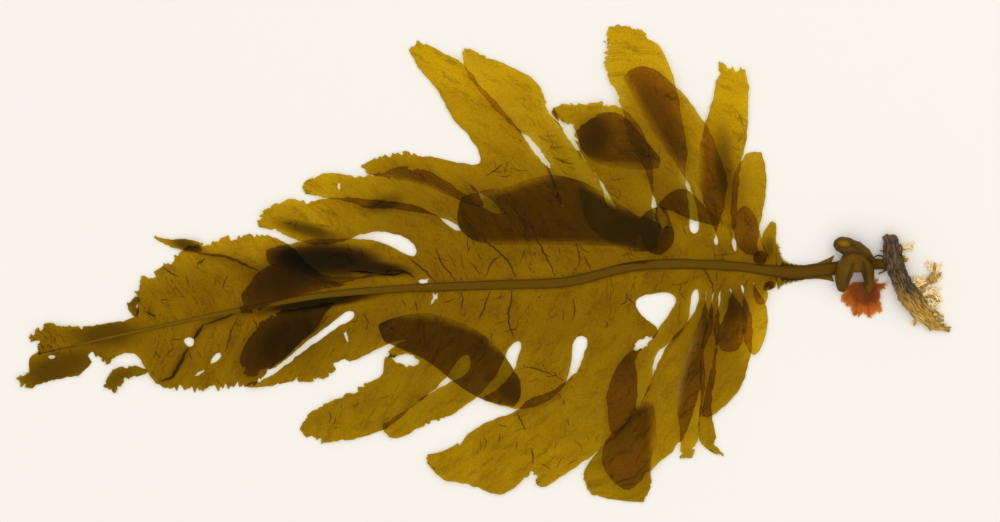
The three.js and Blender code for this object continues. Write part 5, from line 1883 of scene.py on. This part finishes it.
class KELP_OT_holdfast(bpy.types.Operator):
    """Makes the holdfast and its haptera"""

    bl_idname = "kelp.holdfast"
    bl_label = "Holdfast"

    def execute(self, context):
        growths = context.scene.kelp_growths
        root = root_material()
        core = holdfast_mesh(growths)
        add_piece("gnarled_holdfast", core, root, ["holdfast"])
        add_piece("haptera", strands_mesh(growths, root, core), root)
        return {"FINISHED"}


class KELP_OT_alga(bpy.types.Operator):
    """Makes the red alga under the sporophyll"""

    bl_idname = "kelp.alga"
    bl_label = "Red alga"

    def execute(self, context):
        material = alga_material()
        mesh = alga_mesh(context.scene.kelp_growths, material)
        add_piece("red_alga_tuft", mesh, material, ["red_alga"])
        return {"FINISHED"}


def add_floor(scene, settings):
    """A plain pale floor just below the frond."""
    half, gap = 3.0, 0.02 * MM
    corners = [(-half, -half, 0), (half, -half, 0), (half, half, 0), (-half, half, 0)]
    mesh = bpy.data.meshes.new("floor")
    mesh.from_pydata(corners, [], [(0, 1, 2, 3)])
    floor = bpy.data.objects.new("floor", mesh)
    floor.location.z = -gap
    scene.collection.objects.link(floor)
    material, _, shader = new_material("pale floor")
    shader.inputs["Base Color"].default_value = (*settings.floor_colour, 1.0)
    shader.inputs["Roughness"].default_value = 0.6
    mesh.materials.append(material)


def add_light(scene, settings):
    """Soft light from all round, strongest overhead, and one wide warm lamp."""
    cool, warm = (0.95, 0.97, 1.0), (1.0, 0.94, 0.84)
    world = bpy.data.worlds.new("studio")
    world.use_nodes = True
    sky = Nodes(world.node_tree)
    way = sky.split(sky.add("ShaderNodeTexCoord").outputs["Generated"])
    strength = {"From Min": 0.0, "From Max": 1.0, "To Min": settings.sky, "To Max": settings.overhead}
    strength = sky.add("ShaderNodeMapRange", {"Value": way["Z"], **strength}).outputs[0]
    tint = sky.mix(sky.ramp(way["X"], -0.8, 0.8), cool, warm)
    sky.fill(world.node_tree.nodes["Background"], {"Color": tint, "Strength": strength})
    scene.world = world
    lamp = bpy.data.lights.new("soft box", "AREA")
    lamp.shape = "DISK"
    lamp.size = 1.6
    lamp.energy = 3.0
    lamp.color = (1.0, 0.95, 0.88)
    light = bpy.data.objects.new("soft box", lamp)
    light.location = (0.9, 0.7, 1.5)
    light.rotation_euler = (-light.location).to_track_quat("-Z", "Y").to_euler()
    scene.collection.objects.link(light)


def add_camera(scene, settings):
    """A camera that looks straight down on what the photograph shows."""
    camera = bpy.data.cameras.new("camera")
    camera.sensor_width = 36.0
    camera.lens = camera.sensor_width * settings.camera_height / (PHOTO_WIDE * PIXEL)
    view = bpy.data.objects.new("camera", camera)
    view.location = (*PHOTO_CENTRE, settings.camera_height)
    scene.collection.objects.link(view)
    scene.camera = view


class KELP_OT_stage(bpy.types.Operator):
    """Sets up the floor, the light and the camera that looks straight down"""

    bl_idname = "kelp.stage"
    bl_label = "Stage"

    def execute(self, context):
        scene = context.scene
        settings = scene.kelp_stage
        add_floor(scene, settings)
        add_light(scene, settings)
        add_camera(scene, settings)
        scene.view_settings.view_transform = "Standard"
        scene.cycles.max_bounces = LIGHT_BOUNCES
        scene.cycles.transmission_bounces = LIGHT_BOUNCES
        return {"FINISHED"}


class KELP_PT_panel(bpy.types.Panel):
    """Lists the frond's pieces"""

    bl_label = "Kelp frond"
    bl_idname = "KELP_PT_panel"
    bl_space_type = "VIEW_3D"
    bl_region_type = "UI"
    bl_category = "Kelp"

    def draw(self, context):
        for operator in OPERATORS:
            self.layout.operator(operator.bl_idname)


SETTINGS = {
    "kelp_blade": KELP_PG_blade,
    "kelp_strap": KELP_PG_strap,
    "kelp_growths": KELP_PG_growths,
    "kelp_stage": KELP_PG_stage,
}
OPERATORS = (KELP_OT_blade, KELP_OT_strap, KELP_OT_sporophyll, KELP_OT_holdfast, KELP_OT_alga, KELP_OT_stage)
CLASSES = (*SETTINGS.values(), *OPERATORS, KELP_PT_panel)


def register():
    """Makes the settings, the operators and the panel known."""
    for cls in CLASSES:
        bpy.utils.register_class(cls)
    for name, group in SETTINGS.items():
        setattr(bpy.types.Scene, name, PointerProperty(type=group))


def unregister():
    """Takes the settings, the operators and the panel out again."""
    for name in SETTINGS:
        delattr(bpy.types.Scene, name)
    for cls in reversed(CLASSES):
        bpy.utils.unregister_class(cls)


def main():
    """Builds the frond piece by piece."""
    register()
    for operator in OPERATORS:
        getattr(bpy.ops.kelp, operator.bl_idname.split(".")[1])()


if __name__ == "__main__":
    main()
